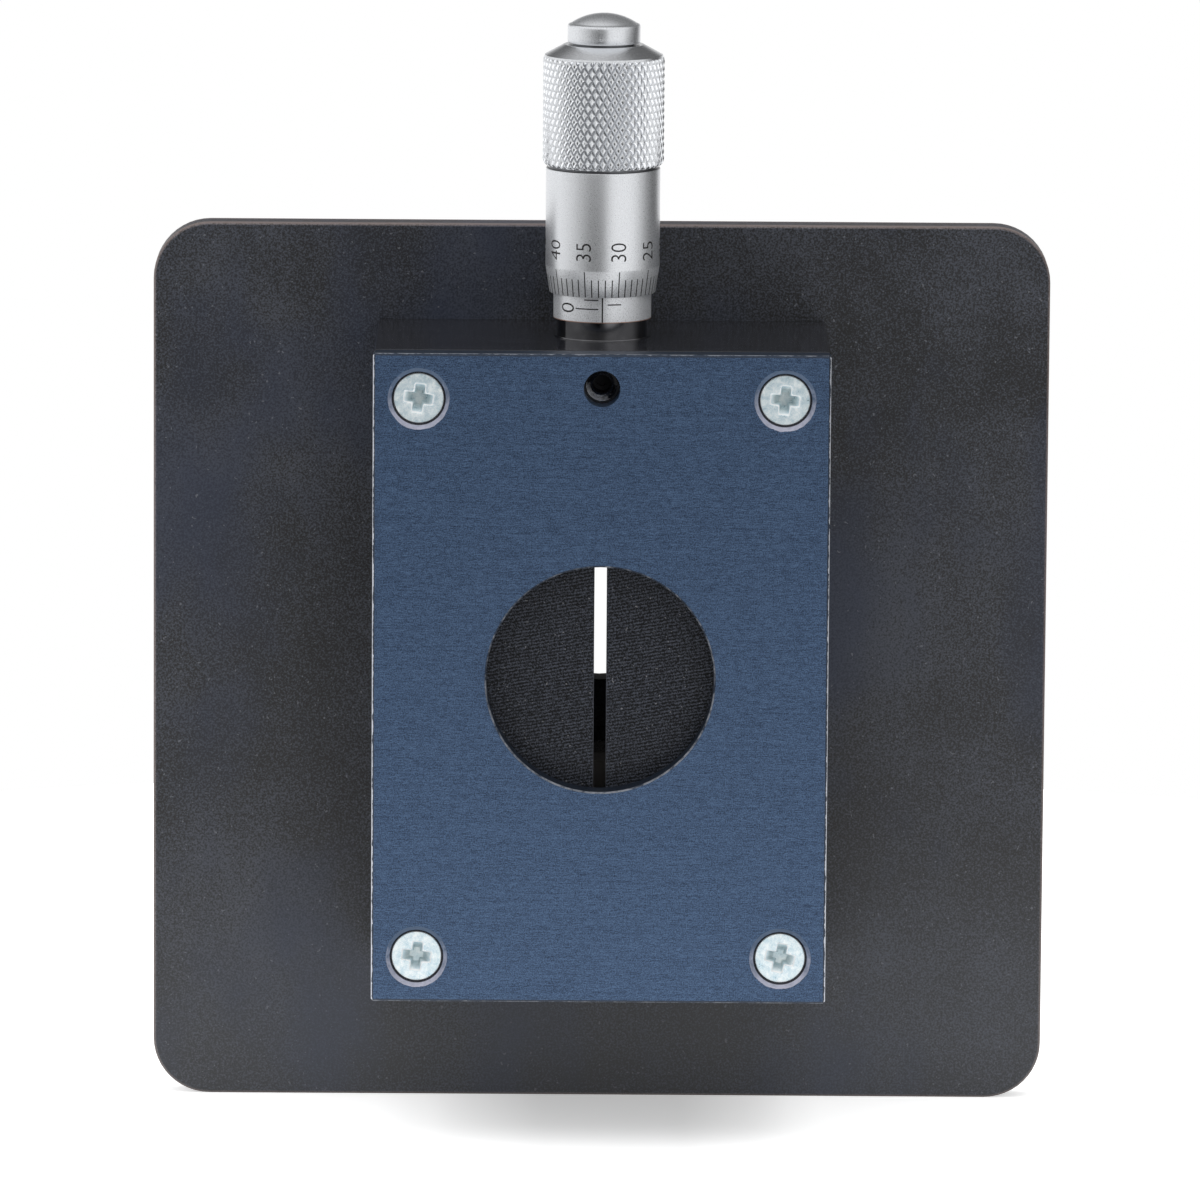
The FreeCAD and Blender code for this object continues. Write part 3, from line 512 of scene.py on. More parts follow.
groundMetals = {
    # colour and least roughness of each
    "ground_steel": ((0.55, 0.55, 0.56, 1.0), 0.25),
    "black_set_screw": ((0.05, 0.05, 0.055, 1.0), 0.4),
    "blackened_bronze": ((0.3, 0.28, 0.27, 1.0), 0.4),
    "turned_brass": ((0.62, 0.45, 0.2, 1.0), 0.28),
}
groundLook = {
    "lines": (200, 200, 1000 / 0.12),   # noise scales along the three axes
    "stainSize": 3.5,
    "stained": 0.75,            # share of the colour that the stains leave
    "cleanFrom": (0.35, 0.65),
    "roughnessSpan": 0.14,
}


def groundMetal(name):
    look = groundLook
    colour, roughness = groundMetals[name]
    coat = Coat(name, Metallic=1.0)
    lines = coat.noise(coat.place(look["lines"]), 1.0, 3, 0.6)
    stain = coat.speckle(look["stainSize"], 3, 0.6)
    darker = tuple(channel * look["stained"] for channel in colour[:3]) + (1.0,)
    clean = coat.spread(stain * 0.6 + lines * 0.4, *look["cleanFrom"])
    coat.feed("Base Color", coat.mix(clean, darker, colour))
    coat.feed("Roughness", coat.spread(lines, *noiseRange, roughness, roughness + look["roughnessSpan"]))
    coat.feed("Normal", coat.bump(lines, 0.15, 0.015 * mm))
    return coat.material


def addPiece(name, mesh, body, material, replaced=None, smoothBelow=32):
    # body is None for a piece that is left unattached
    mesh.name = name
    mesh.materials.clear()
    mesh.materials.append(material)
    mesh.shade_smooth()
    mesh.set_sharp_from_angle(angle=math.radians(smoothBelow))
    piece = bpy.data.objects.new(name, mesh)
    bpy.context.scene.collection.objects.link(piece)
    if body:
        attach(piece, body)
    if replaced:
        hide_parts(replaced)
    return piece


def finishMesh(shape):
    bmesh.ops.recalc_face_normals(shape, faces=shape.faces)
    mesh = bpy.data.meshes.new("shape")
    shape.to_mesh(mesh)
    shape.free()
    return mesh


def dress(material, *names):
    for name in names:
        slots = nodes[name].data.materials
        slots.clear()
        slots.append(material)


def softened(profile, radius, kept=(), steps=3):
    # cuts each corner of a closed profile by a small arc, but those of the kept numbers
    points = []
    count = len(profile)
    for number in range(count):
        here = Vector(profile[number])
        before = Vector(profile[number - 1]) - here
        after = Vector(profile[(number + 1) % count]) - here
        reach = min(radius, before.length * 0.4, after.length * 0.4)
        if number in kept or before.angle(after) > math.radians(172):
            points.append(tuple(here))
            continue
        start, end = here + before.normalized() * reach, here + after.normalized() * reach
        for step in range(steps + 1):
            share = step / steps
            points.append(tuple(start * (1 - share) ** 2 + here * 2 * share * (1 - share) + end * share ** 2))
    return points


def turn(profile, centre, steps):
    # turns a closed profile of (radius, height) about the upright line through centre
    shape = bmesh.new()
    ring = [shape.verts.new((centre[0] + radius, centre[1], height)) for radius, height in profile]
    edges = [shape.edges.new((ring[number - 1], ring[number])) for number in range(len(ring))]
    bmesh.ops.spin(shape, geom=ring + edges, cent=(centre[0], centre[1], 0), axis=(0, 0, 1),
                   angle=2 * math.pi, steps=steps, use_merge=True)
    bmesh.ops.remove_doubles(shape, verts=shape.verts, dist=1e-7)
    return shape


thimbleSizes = {
    "boreRadius": 5.5,
    "edgeRadius": 5.85,
    "plainRadius": 6.3,
    "skirtLength": 3,
    "plainLength": 11.07,
    "knurlRadius": 6.7,
    "knurlLength": 12.2,
    "knurlStep": 0.35,
    "knurlEndStep": 0.2,
    "knurlEndRun": 0.5,
    "knurlDepth": 0.32,
    "diamondsRound": 48,
    "diamondsUp": 8,
    "fine": 8,                  # mesh steps across one diamond
    "undercut": 0.22,
    "undercutFrom": (0.32, 0.24, 0.06),     # heights below the knurl where it starts, is full and ends
    "crownRadius": 4.4,
    "crownHeight": 1.15,
    "stubRadius": 2.01,
    "boreDepth": 23.2,
    "softening": 0.08,
}
spindleAxis = ((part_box("thimble")[0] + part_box("thimble")[1]) / 2)[:2]
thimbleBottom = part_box("thimble")[0][2]


def knurlRise(across, up):
    # height of the knurl, 0 in the grooves and 1 on the points, for a place counted in diamonds
    toGroove = min(abs(value - round(value)) for value in (across + up, across - up))
    return min(toGroove * 3.1, 0.46 + toGroove * 1.08)


def makeThimble(material):
    sizes = thimbleSizes
    bottom = thimbleBottom / mm
    knurlStart = bottom + sizes["skirtLength"] + sizes["plainLength"]
    knurlEnd = knurlStart + sizes["knurlLength"]
    crownTop = knurlEnd + sizes["crownHeight"]
    rows = sizes["diamondsUp"] * sizes["fine"]
    around = sizes["diamondsRound"] * sizes["fine"]
    plain, boreTop = sizes["plainRadius"], bottom + sizes["boreDepth"]
    start, full, end = (knurlStart - height for height in sizes["undercutFrom"])
    lower = [(sizes["boreRadius"], bottom), (sizes["edgeRadius"], bottom),
             (plain, bottom + sizes["skirtLength"]), (plain, start),
             (plain - sizes["undercut"], full), (plain - sizes["undercut"], end)]
    knurl = [(plain, knurlStart + sizes["knurlLength"] * row / rows) for row in range(rows + 1)]
    upper = [(sizes["crownRadius"], crownTop), (sizes["stubRadius"], crownTop),
             (sizes["stubRadius"], boreTop), (sizes["boreRadius"], boreTop)]
    kept = range(len(lower), len(lower) + len(knurl))
    profile = softened(lower + knurl + upper, sizes["softening"], kept)
    shape = turn([(radius * mm, height * mm) for radius, height in profile], spindleAxis, around)
    axis = Vector((spindleAxis[0], spindleAxis[1], 0))
    cells = {}
    for vert in shape.verts:
        flat = Vector((vert.co.x, vert.co.y, 0)) - axis
        height = vert.co.z / mm
        inKnurl = knurlStart - 0.01 < height < knurlEnd + 0.01
        if not inKnurl or flat.length <= (plain - 0.01) * mm:
            continue
        column = round(math.atan2(flat.y, flat.x) / (2 * math.pi) * around) % around
        row = round((height - knurlStart) / sizes["knurlLength"] * rows)
        cells[vert] = (column, row)
        rise = knurlRise(column / sizes["fine"], row / sizes["fine"])
        fromStart, fromEnd = height - knurlStart, knurlEnd - height
        depth = sizes["knurlDepth"] * min(1, fromEnd / sizes["knurlEndRun"])
        radius = sizes["knurlRadius"] - depth * (1 - rise)
        radius = min(radius, plain + fromStart / sizes["knurlStep"] * (sizes["knurlRadius"] - plain))
        radius = min(radius, sizes["knurlRadius"] - sizes["knurlEndStep"]
                     * max(0, 1 - fromEnd / sizes["knurlEndRun"]))
        flat = flat.normalized() * radius * mm
        vert.co.x, vert.co.y = axis.x + flat.x, axis.y + flat.y
    splitAlongGrooves(shape, cells, sizes["fine"])
    mesh = finishMesh(shape)
    return addPiece("knurled_thimble", mesh, "thimble", material, "thimble", 24)


def splitAlongGrooves(shape, cells, fine):
    # cuts each small square of the knurl along the diagonal that a groove follows
    for face in list(shape.faces):
        if len(face.verts) != 4 or not all(vert in cells for vert in face.verts):
            continue
        corners = sorted(face.verts, key=lambda vert: cells[vert][1])
        lowRow = cells[corners[0]][1]
        columns = sorted({cells[vert][0] for vert in face.verts})
        if len(columns) != 2:
            continue
        left, right = columns if columns[1] - columns[0] == 1 else (columns[1], columns[0])
        at = {cells[vert]: vert for vert in face.verts}
        rising = abs((left - lowRow) / fine - round((left - lowRow) / fine))
        falling = abs((left + 1 + lowRow) / fine - round((left + 1 + lowRow) / fine))
        if rising < falling:
            pair = at[(left, lowRow)], at[(right, lowRow + 1)]
        else:
            pair = at[(right, lowRow)], at[(left, lowRow + 1)]
        bmesh.utils.face_split(face, *pair)


capSizes = {
    "radius": 4,
    "rimHeight": 2.27,
    "domeHeight": 1.15,
    "rounding": 0.3,
    "grooveRadius": 3.45,
    "grooveHeight": 0.2,
    "domeSteps": 14,
}


def makeCap(material):
    sizes = capSizes
    low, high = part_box("thimble_cap")
    bottom, top = low[2] / mm, high[2] / mm
    rim = top - sizes["domeHeight"]
    shoulder = sizes["radius"] - sizes["rounding"]
    sphere = (shoulder ** 2 + sizes["domeHeight"] ** 2) / (2 * sizes["domeHeight"])
    spread = math.asin(shoulder / sphere)
    dome = []
    for step in range(sizes["domeSteps"] + 1):
        angle = spread * (1 - step / sizes["domeSteps"])
        dome.append((sphere * math.sin(angle), top - sphere * (1 - math.cos(angle))))
    dome[-1] = (0.02, top)
    grooveTop = bottom + sizes["grooveHeight"]
    profile = [(0.02, bottom), (sizes["grooveRadius"], bottom), (sizes["grooveRadius"], grooveTop),
               (sizes["radius"] - 0.06, grooveTop), (sizes["radius"], grooveTop + 0.08),
               (sizes["radius"], rim - sizes["rounding"])]
    for step in range(1, 5):
        angle = math.pi / 2 * step / 5
        profile.append((sizes["radius"] - sizes["rounding"] * (1 - math.cos(angle)),
                        rim - sizes["rounding"] * (1 - math.sin(angle))))
    shape = turn([(radius * mm, height * mm) for radius, height in profile + dome], spindleAxis, roundSteps)
    holes = [edge for edge in shape.edges if edge.is_boundary]
    bmesh.ops.holes_fill(shape, edges=holes, sides=0)
    return addPiece("thimble_push_cap", finishMesh(shape), "thimble", material, "thimble_cap", 40)


neckRingSizes = {
    "radius": 4.95,
    "width": 0.34,
    "height": 0.14,
    "slope": 0.05,
    "inNeck": 0.02,
    "inBlock": 0.005,
    "softening": 0.05,
}


def makeNeckRing(material):
    # the thin lip that the neck stands on
    sizes = neckRingSizes
    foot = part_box("body_block")[1][2] / mm
    low, high = foot - sizes["inBlock"], foot + sizes["height"]
    inner, outer = sizes["radius"] - sizes["inNeck"], sizes["radius"] + sizes["width"]
    profile = softened([(inner, low), (outer, low), (outer - sizes["slope"], high), (inner, high)],
                       sizes["softening"])
    shape = turn([(radius * mm, height * mm) for radius, height in profile], spindleAxis, roundSteps)
    return addPiece("neck_ring", finishMesh(shape), "root", material)


scaleSizes = {
    "divisions": 50,
    "readingAtRest": 32.4,
    "tickStart": 0.04,
    "tickWidth": 0.12,
    "shortTick": 1.95,
    "longTick": 2.85,
    "numberEvery": 5,
    "numberHeight": 1.88,
    "numberRise": 5.05,         # number's middle above the thimble's edge
    "inkDepth": 0.03,
    "inkProud": 0.008,
}


def wrapped(shape, radiusAt, centre, strip=0.25 * mm):
    # bends a flat shape round the spindle: x runs round to the right, y up, z outwards
    across = [vert.co.x for vert in shape.verts]
    for number in range(math.ceil(min(across) / strip), math.floor(max(across) / strip) + 1):
        everything = shape.verts[:] + shape.edges[:] + shape.faces[:]
        bmesh.ops.bisect_plane(shape, geom=everything, plane_co=(number * strip, 0, 0), plane_no=(1, 0, 0))
    for vert in shape.verts:
        around, up, outwards = vert.co
        radius = radiusAt(up)
        angle = around / radius
        reach = radius + outwards
        vert.co = (centre[0] + reach * math.sin(angle), centre[1] - reach * math.cos(angle), up)


def addBar(shape, around, up, width, height, depth, proud):
    # flat bar lying in the x, y plane, centred on a point
    made = bmesh.ops.create_cube(shape, size=1.0)
    bmesh.ops.scale(shape, vec=(width, height, depth), verts=made["verts"])
    bmesh.ops.translate(shape, vec=(around, up, proud - depth / 2), verts=made["verts"])


figureForm = {"heightShare": 0.73, "thinning": 0.014, "narrowing": 0.9}


def addNumber(shape, text, around, up, height, depth, proud):
    # upright strokes laid on their side, so that the number reads upwards
    curve = bpy.data.curves.new("number", "FONT")
    curve.body = text
    curve.size = height / figureForm["heightShare"]
    curve.align_x = "CENTER"
    curve.align_y = "CENTER"
    curve.offset = -height * figureForm["thinning"]
    curve.extrude = depth / 2
    curve.resolution_u = 3
    holder = bpy.data.objects.new("number", curve)
    mesh = bpy.data.meshes.new_from_object(holder)
    mesh.transform(Matrix.Translation((around, up, proud - depth / 2)) @ Matrix.Rotation(math.pi / 2, 4, "Z")
                   @ Matrix.Diagonal((figureForm["narrowing"], 1.0, 1.0, 1.0)))
    shape.from_mesh(mesh)
    bmesh.ops.remove_doubles(shape, verts=shape.verts, dist=1e-7)
    bpy.data.objects.remove(holder)
    bpy.data.curves.remove(curve)
    bpy.data.meshes.remove(mesh)


def makeThimbleScale(material):
    sizes = scaleSizes
    edge, plain = thimbleSizes["edgeRadius"] * mm, thimbleSizes["plainRadius"] * mm
    skirt = thimbleSizes["skirtLength"] * mm

    def radiusAt(up):
        return edge + (plain - edge) * min(1.0, max(0.0, (up - thimbleBottom) / skirt))

    step = 2 * math.pi / sizes["divisions"]
    ink, proud = sizes["inkDepth"] * mm, sizes["inkProud"] * mm
    shape = bmesh.new()
    numbers = bmesh.new()
    for division in range(sizes["divisions"]):
        angle = (sizes["readingAtRest"] - division) * step
        angle = (angle + math.pi) % (2 * math.pi) - math.pi
        numbered = division % sizes["numberEvery"] == 0
        length = (sizes["longTick"] if numbered else sizes["shortTick"]) * mm
        tick = bmesh.new()
        addBar(tick, 0, thimbleBottom + sizes["tickStart"] * mm + length / 2, sizes["tickWidth"] * mm, length,
               ink, proud)
        wrapped(tick, radiusAt, (0, 0))
        joinTurned(shape, tick, angle)
        if numbered:
            mark = bmesh.new()
            addNumber(mark, str(division), 0, thimbleBottom + sizes["numberRise"] * mm,
                      sizes["numberHeight"] * mm, ink, proud)
            wrapped(mark, radiusAt, (0, 0))
            joinTurned(numbers, mark, angle)
    addPiece("thimble_ticks", finishMesh(shape), "thimble", material)
    addPiece("thimble_numbers", finishMesh(numbers), "thimble", material)


def joinTurned(whole, part, angle):
    # turns a part about the spindle, then adds it to the whole
    turned = Matrix.Translation((spindleAxis[0], spindleAxis[1], 0)) @ Matrix.Rotation(angle, 4, "Z")
    mesh = bpy.data.meshes.new("part")
    part.to_mesh(mesh)
    part.free()
    mesh.transform(turned)
    whole.from_mesh(mesh)
    bpy.data.meshes.remove(mesh)


sleeveSizes = {
    "radius": 5.4,
    "zeroRise": 1.53,
    "lineWidth": 0.13,
    "indexWidth": 0.15,
    "indexTop": 9,
    "indexShort": 0.1,
    "reach": 6.5,               # millimetres that the scale counts
    "lineStart": 0.45,
    "zeroEnd": 3.1,
    "wholeEnd": 2.05,
    "halfStart": 0.57,
    "halfEnd": 2.1,
    "numberPlace": 4.15,
    "numberHeight": 2.05,
}


def makeSleeveScale(material):
    sizes = sleeveSizes
    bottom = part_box("graduated_sleeve")[0][2]
    ink, proud = scaleSizes["inkDepth"] * mm, scaleSizes["inkProud"] * mm
    zero = bottom + sizes["zeroRise"] * mm
    shape = bmesh.new()
    indexTop = bottom + sizes["indexTop"] * mm
    addBar(shape, 0, (bottom + indexTop) / 2, sizes["indexWidth"] * mm,
           indexTop - bottom - sizes["indexShort"] * mm, ink, proud)
    for half in range(int(sizes["reach"] * 2) + 1):
        height = zero + half * 0.5 * mm
        if half % 2:
            start, end = sizes["halfStart"], sizes["halfEnd"]
        else:
            longer = half % 10 == 0
            start, end = -(sizes["zeroEnd"] if longer else sizes["wholeEnd"]), -sizes["lineStart"]
        addBar(shape, (start + end) / 2 * mm, height, (end - start) * mm, sizes["lineWidth"] * mm, ink, proud)
    for whole in (0, 5):
        addNumber(shape, str(whole), -sizes["numberPlace"] * mm, zero + whole * mm,
                  sizes["numberHeight"] * mm, ink, proud)
    radius = sizes["radius"] * mm
    wrapped(shape, lambda up: radius, spindleAxis)
    addPiece("sleeve_scale", finishMesh(shape), "root", material)


coverScrewSizes = {
    "places": {"upper_left": (-20, 31, -8), "upper_right": (20, 31, -5),
               "lower_left": (-20, -31, -6), "lower_right": (20, -31, -12)},
    "headRadius": 2.8,
    "rimHeight": 0.16,
    "rimSlope": 0.13,
    "rimLand": 0.08,
    "coneEnd": 1.4,
    "shankRadius": 1.5,
    "length": 8,
    "crossSpan": 3.15,
    "crossWidth": 1.08,
    "innerSpan": 1.5,
    "innerWidth": 0.6,
    "crossDepth": 1.15,
    "crossBreak": 0.13,
    "rounds": 64,
}


def crossOutline(span, width, flare):
    # corners of one cross with its inner corners cut back by the flare, going round clockwise
    half, wing = span / 2, width / 2
    corner = [(wing * 0.8, half), (wing, half * 0.93), (wing * 1.06, wing * 1.06 + flare),
              (wing * 1.06 + flare, wing * 1.06), (half * 0.93, wing), (half, wing * 0.8)]
    points = []
    for quarter in range(4):
        angle = -quarter * math.pi / 2
        points += [(x * math.cos(angle) - y * math.sin(angle), x * math.sin(angle) + y * math.cos(angle))
                   for x, y in corner]
    return points


def loopOf(shape, points, height):
    verts = [shape.verts.new((x, y, height)) for x, y in points]
    return verts, [shape.edges.new((verts[number - 1], verts[number])) for number in range(len(verts))]


def pullLoop(shape, verts, edges, points, height):
    # pulls a new loop out of an old one, onto the given points
    made = bmesh.ops.extrude_edge_only(shape, edges=edges)["geom"]
    fresh = {item for item in made if isinstance(item, bmesh.types.BMVert)}
    following = [next(edge.other_vert(vert) for edge in vert.link_edges if edge.other_vert(vert) in fresh)
                 for vert in verts]
    for vert, (x, y) in zip(following, points):
        vert.co = (x, y, height)
    return following, [edge for edge in made if isinstance(edge, bmesh.types.BMEdge)
                       and all(vert in fresh for vert in edge.verts)]


def makeCoverScrew(name, place, material):
    sizes = coverScrewSizes
    head, count = sizes["headRadius"], sizes["rounds"]
    shape = bmesh.new()

    def circle(radius):
        return [(radius * math.cos(2 * math.pi * n / count), radius * math.sin(2 * math.pi * n / count))
                for n in range(count)]

    edge = sizes["crossBreak"]
    wide = crossOutline(sizes["crossSpan"] + 2 * edge, sizes["crossWidth"] + 2 * edge, 0.1)
    rim = loopOf(shape, circle(head - sizes["rimSlope"]), 0)
    cross = loopOf(shape, wide, 0)
    bmesh.ops.triangle_fill(shape, use_beauty=True, edges=rim[1] + cross[1])
    # the recess has a worn edge, steep walls and a smaller floor
    cross = pullLoop(shape, *cross, crossOutline(sizes["crossSpan"], sizes["crossWidth"], 0.12), -edge)
    floor = crossOutline(sizes["innerSpan"], sizes["innerWidth"], 0.05)
    cross = pullLoop(shape, *cross, floor, -sizes["crossDepth"])
    bmesh.ops.triangle_fill(shape, use_beauty=True, edges=cross[1])
    shank, coneTop = sizes["shankRadius"], sizes["rimHeight"] + sizes["rimLand"]
    for radius, depth in ((head, sizes["rimHeight"]), (head, coneTop), (shank, sizes["coneEnd"]),
                          (shank, sizes["length"])):
        rim = pullLoop(shape, *rim, circle(radius), -depth)
    bmesh.ops.contextual_create(shape, geom=rim[1])
    x, z, degrees = place
    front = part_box("cover_screws")[0][1] / mm
    stand = (Matrix.Scale(mm, 4) @ Matrix.Translation((x, front, z)) @ Matrix.Rotation(math.pi / 2, 4, "X")
             @ Matrix.Rotation(math.radians(degrees), 4, "Z"))
    bmesh.ops.transform(shape, matrix=stand, verts=shape.verts)
    return addPiece(name, finishMesh(shape), "root", material, "cover_screws", 30)


threadSizes = {
    "outerRadius": 1.27,
    "innerRadius": 1.05,
    "pitch": 0.45,
    "footHalf": 0.42,           # half widths of the ridge, as shares of the pitch
    "crestHalf": 0.08,
    "start": 0.4,
    "turns": 8,
    "steps": 36,
}


def makeClampThread(material):
    # the ridge of the clamp screw's tapped hole, wound from the mouth down to the screw
    sizes = threadSizes
    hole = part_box("clamp_screw")
    x, z = (hole[0][0] + hole[1][0]) / 2, (hole[0][2] + hole[1][2]) / 2
    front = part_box("body_block")[0][1] + sizes["start"] * mm
    shape = bmesh.new()
    pitch = sizes["pitch"] * mm
    outer, inner = sizes["outerRadius"] * mm, sizes["innerRadius"] * mm
    foot, crest = pitch * sizes["footHalf"], pitch * sizes["crestHalf"]
    corners = [(outer, -foot), (inner, -crest), (inner, crest), (outer, foot)]
    verts = [shape.verts.new((radius, 0, height)) for radius, height in corners]
    edges = [shape.edges.new((verts[number - 1], verts[number])) for number in range(len(verts))]
    steps = sizes["steps"] * sizes["turns"]
    bmesh.ops.spin(shape, geom=verts + edges, cent=(0, 0, 0), axis=(0, 0, 1),
                   dvec=(0, 0, pitch / sizes["steps"]), angle=2 * math.pi * sizes["turns"], steps=steps)
    bmesh.ops.holes_fill(shape, edges=[edge for edge in shape.edges if edge.is_boundary], sides=0)
    laid = Matrix.Translation((x, front, z)) @ Matrix.Rotation(-math.pi / 2, 4, "X")
    bmesh.ops.transform(shape, matrix=laid, verts=shape.verts)
    return addPiece("clamp_hole_thread", finishMesh(shape), "root", material)


springSizes = {"outerDiameter": 3.7, "wire": 0.5, "turns": 7, "steps": 24, "wireSides": 8, "heldEnd": 0.6}


def makeReturnSpring(word, material):
    # a coil wound up through the imported spring's box, left unattached
    sizes = springSizes
    name = word + "_return_spring"
    low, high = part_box(name)
    x, y = (low[0] + high[0]) / 2, (low[1] + high[1]) / 2
    wire = sizes["wire"] * mm
    radius = (sizes["outerDiameter"] * mm - wire) / 2
    shape = bmesh.new()
    foot = Matrix.Translation((x + radius, y, low[2] + wire / 2)) @ Matrix.Rotation(math.pi / 2, 4, "X")
    bmesh.ops.create_circle(shape, radius=wire / 2, segments=sizes["wireSides"], matrix=foot)
    steps = sizes["steps"] * sizes["turns"]
    rise = (high[2] - low[2] - wire) / steps
    bmesh.ops.spin(shape, geom=shape.verts[:] + shape.edges[:], cent=(x, y, 0), axis=(0, 0, 1),
                   dvec=(0, 0, rise), angle=2 * math.pi * sizes["turns"], steps=steps)
    bmesh.ops.holes_fill(shape, edges=[edge for edge in shape.edges if edge.is_boundary], sides=0)
    piece = addPiece(word + "_coil_spring", finishMesh(shape), None, material, name, 60)
    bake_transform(piece)


studio = {
    "floorRadius": 0.2,
    "floorColour": 0.86,
    # the floor glows more beside the part's middle, which keeps the shadow narrow
    "floorGlow": (0.36, 0.55),
    "glowMiddle": 1.5,
    "glowReach": (8, 20),
    "floorGlowInMetal": 0.45,
    # each lamp's place, its aim, its width, height and power; metal doesn't mirror them
    "lamps": {"overhead": ((-50, -170, 900), (0, -40, -30), 1000, 1000, 5.8),
              "left": ((-900, 110, 230), (0, -20, 20), 520, 900, 2.6)},
    "plain": 0.72,              # level that matt surfaces get from all round
    # what metal mirrors at eye level, by angle from the camera's side, positive to the right
    "around": [(-180, 1.0), (-125, 1.0), (-96, 0.95), (-66, 0.7), (-44, 0.38), (-28, 0.09), (-8, 0.0),
               (3, 0.18), (14, 0.85), (22, 1.0), (61, 1.0), (76, 0.66), (94, 0.28), (112, 0.06),
               (132, 0.04), (155, 1.0)],
    # what metal mirrors from high up, by how far back and to the right
    "above": (0.84, 0.06),
    "aboveReach": (0.25, 0.68),
    "aboveToRight": 0.35,
    "eyeLevelTop": 0.34,
}


def makeFloor():
    shape = bmesh.new()
    bmesh.ops.create_circle(shape, cap_ends=True, radius=studio["floorRadius"], segments=roundSteps)
    bmesh.ops.translate(shape, vec=(0, 0, cadBox[0][2] - 0.01 * mm), verts=shape.verts)
    material = bpy.data.materials.new("white_floor")
    material.use_nodes = True
    floor = Finish(material.node_tree)
    material.node_tree.nodes.clear()
    path = floor.add("ShaderNodeLightPath")
    outputs = {name: Wire(floor, path.socket.node.outputs[name])
               for name in ("Is Camera Ray", "Is Glossy Ray", "Is Transmission Ray")}
    fromMiddle = abs(floor.axes()[0] - studio["glowMiddle"])
    beside = floor.spread(fromMiddle, *studio["glowReach"], *studio["floorGlow"])
    seen = outputs["Is Camera Ray"].atLeast(outputs["Is Transmission Ray"]) * beside
    strength = seen + outputs["Is Glossy Ray"] * studio["floorGlowInMetal"]
    paint = floor.add("ShaderNodeBsdfDiffuse", {}, {"Color": grey(studio["floorColour"])})
    glow = floor.add("ShaderNodeEmission", {}, {"Color": grey(1.0), "Strength": strength})
    both = floor.add("ShaderNodeAddShader", {}, {0: paint, 1: glow})
    floor.add("ShaderNodeOutputMaterial", {}, {"Surface": both})
    mesh = finishMesh(shape)
    mesh.materials.append(material)
    stage = bpy.data.objects.new("floor", mesh)
    bpy.context.scene.collection.objects.link(stage)


def makeWorld():
    world = bpy.data.worlds.new("studio")
    bpy.context.scene.world = world
    world.use_nodes = True
    world.node_tree.nodes.clear()
    sky = Finish(world.node_tree)
    direction = sky.add("ShaderNodeTexCoord", output=0)
    split = sky.add("ShaderNodeSeparateXYZ", {}, {"Vector": direction}).socket.node.outputs
    x, y, z = (Wire(sky, split[number]) for number in range(3))
    angle = sky.add("ShaderNodeMath", {"operation": "ARCTAN2"}, {0: x, 1: y * -1})
    stops = [(degrees / 360 + 0.5, grey(level)) for degrees, level in studio["around"]]
    walls = sky.add("ShaderNodeValToRGB", {"stops": stops}, {"Fac": angle / (2 * math.pi) + 0.5})
    away = sky.spread(y + x * studio["aboveToRight"], *studio["aboveReach"])
    above = sky.mix(away, *(grey(level) for level in studio["above"]))
    gloss = sky.mix(sky.spread(z, 0.0, studio["eyeLevelTop"]), walls, above)
    path = sky.add("ShaderNodeLightPath").socket.node.outputs
    matt = Wire(sky, path["Is Diffuse Ray"])
    seen = Wire(sky, path["Is Camera Ray"]).atLeast(Wire(sky, path["Is Transmission Ray"]))
    colour = sky.mix(seen, sky.mix(matt, gloss, grey(studio["plain"])), grey(1.0))
    background = sky.add("ShaderNodeBackground", {}, {"Color": colour, "Strength": 1.0})
    sky.add("ShaderNodeOutputWorld", {}, {"Surface": background})


def makeLamps():
    for name, (place, aim, width, height, power) in studio["lamps"].items():
        lamp = bpy.data.lights.new(name, "AREA")
        lamp.shape = "RECTANGLE"
        lamp.size = width * mm
        lamp.size_y = height * mm
        lamp.energy = power
        holder = bpy.data.objects.new(name, lamp)
        holder.location = Vector(place) * mm
        holder.rotation_euler = (Vector(aim) - Vector(place)).to_track_quat("-Z", "Y").to_euler()
        holder.visible_camera = False
        holder.visible_glossy = False
        bpy.context.scene.collection.objects.link(holder)


view = {
    "place": (-3.545, -1190.094, 198.293),
    "down": 0.1621,             # radians, as are the next two
    "right": 0.003,
    "roll": 0.0069,
    "lens": 321.8,
    "sensor": 36,
}


def makeCamera():
    forward = Vector((math.sin(view["right"]) * math.cos(view["down"]),
                      math.cos(view["right"]) * math.cos(view["down"]), -math.sin(view["down"])))
    right = Vector((math.cos(view["right"]), -math.sin(view["right"]), 0))
    up = right.cross(forward)
    side = right * math.cos(view["roll"]) + up * math.sin(view["roll"])
    top = up * math.cos(view["roll"]) - right * math.sin(view["roll"])
    lens = bpy.data.cameras.new("camera")
    lens.lens = view["lens"]
    lens.sensor_width = view["sensor"]
    lens.clip_start = 0.05
    lens.clip_end = 20
    camera = bpy.data.objects.new("camera", lens)
    turned = Matrix((side, top, -forward)).transposed().to_4x4()
    camera.matrix_world = Matrix.Translation(Vector(view["place"]) * mm) @ turned
    bpy.context.scene.collection.objects.link(camera)
    bpy.context.scene.camera = camera


print("camera and studio")
makeCamera()
makeWorld()
makeLamps()
makeFloor()
bpy.context.scene.view_settings.view_transform = "Standard"

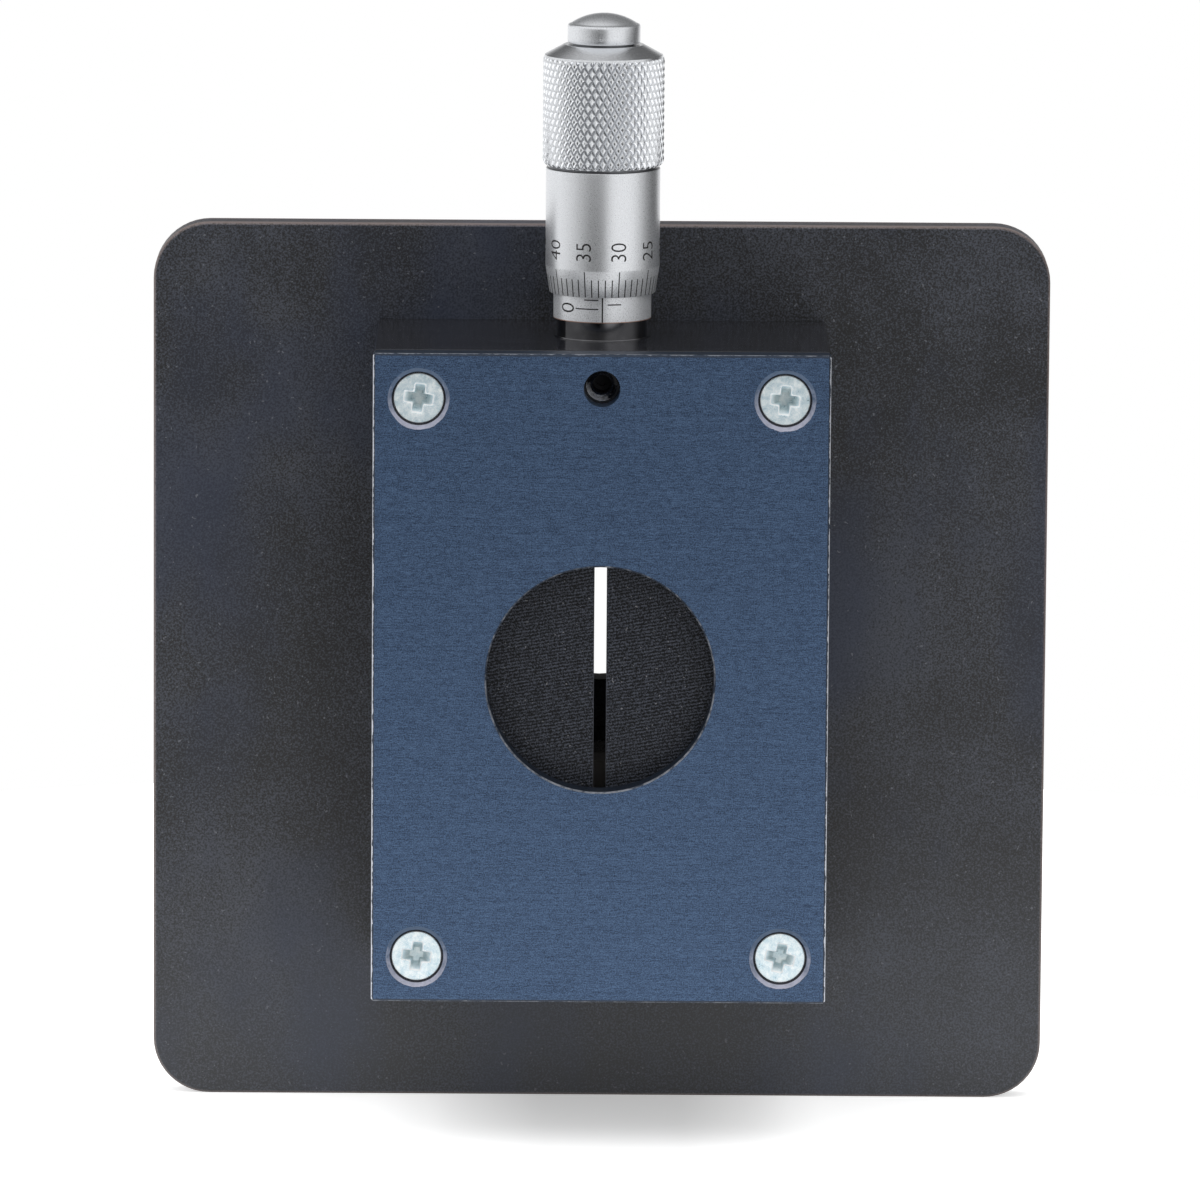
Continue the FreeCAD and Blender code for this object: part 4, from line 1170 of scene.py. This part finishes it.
print("finishes on the solids")
clampFront = (0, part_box("body_block")[0][1], (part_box("clamp_screw")[0][2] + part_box("clamp_screw")[1][2]) / 2)
zinc = zincPlate("zinc_plated_steel")
coverZinc = zincPlate("zinc_cover_screws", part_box("cover_screws")[0][1])
steel = groundMetal("ground_steel")
dress(anodisedPlate(), "base_plate")
blockBlack = anodisedBlock(clampFront)
dress(blockBlack, "body_block", "left_carrier", "right_carrier")
dress(brushedCover(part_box("front_cover")[0][1]), "front_cover")
dress(tooledBlade(-1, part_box("left_blade")[1][0]), "left_blade")
dress(tooledBlade(1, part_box("right_blade")[0][0]), "right_blade")
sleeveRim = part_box("graduated_sleeve")[0][2] + chromeLook["rimHeight"] * mm
dress(satinChrome("satin_sleeve", turned=0.5, metallic=0.58, rimBelow=sleeveRim), "graduated_sleeve")
neckChrome = polishedChrome()
dress(neckChrome, "micrometer_barrel")
dress(zinc, "cover_screws", "plate_screws", "rail_screws", "left_blade_screws", "right_blade_screws")
dress(steel, "upper_rail", "lower_rail", "left_cam_pin", "right_cam_pin", "contact_button", "spindle")
dress(groundMetal("black_set_screw"), "clamp_screw")
dress(groundMetal("blackened_bronze"), "cam_carriage")
dress(groundMetal("turned_brass"), "adjusting_nut")

print("micrometer head")
knurlStart = thimbleBottom + (thimbleSizes["skirtLength"] + thimbleSizes["plainLength"]) * mm
# painted shadow in the undercut below the knurl
undercut = (knurlStart - chromeLook["undercutShadow"] * mm, knurlStart)
makeThimble(satinChrome("satin_thimble", turned=0.25, knurlFrom=knurlStart, paintedShade=undercut,
                        mattBelow=thimbleBottom + thimbleSizes["skirtLength"] * mm))
capShadow = [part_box("thimble_cap")[0][2] + height * mm for height in chromeLook["capShadow"]]
makeCap(satinChrome("satin_cap", turned=0.35, paintedShade=capShadow))
makeNeckRing(neckChrome)
ink = scaleInk()
makeThimbleScale(ink)
makeSleeveScale(ink)

print("screws")
for word, place in coverScrewSizes["places"].items():
    makeCoverScrew("cover_screw_" + word, place, coverZinc)
makeClampThread(blockBlack)

print("return springs")
for word in ("left", "right"):
    makeReturnSpring(word, steel)
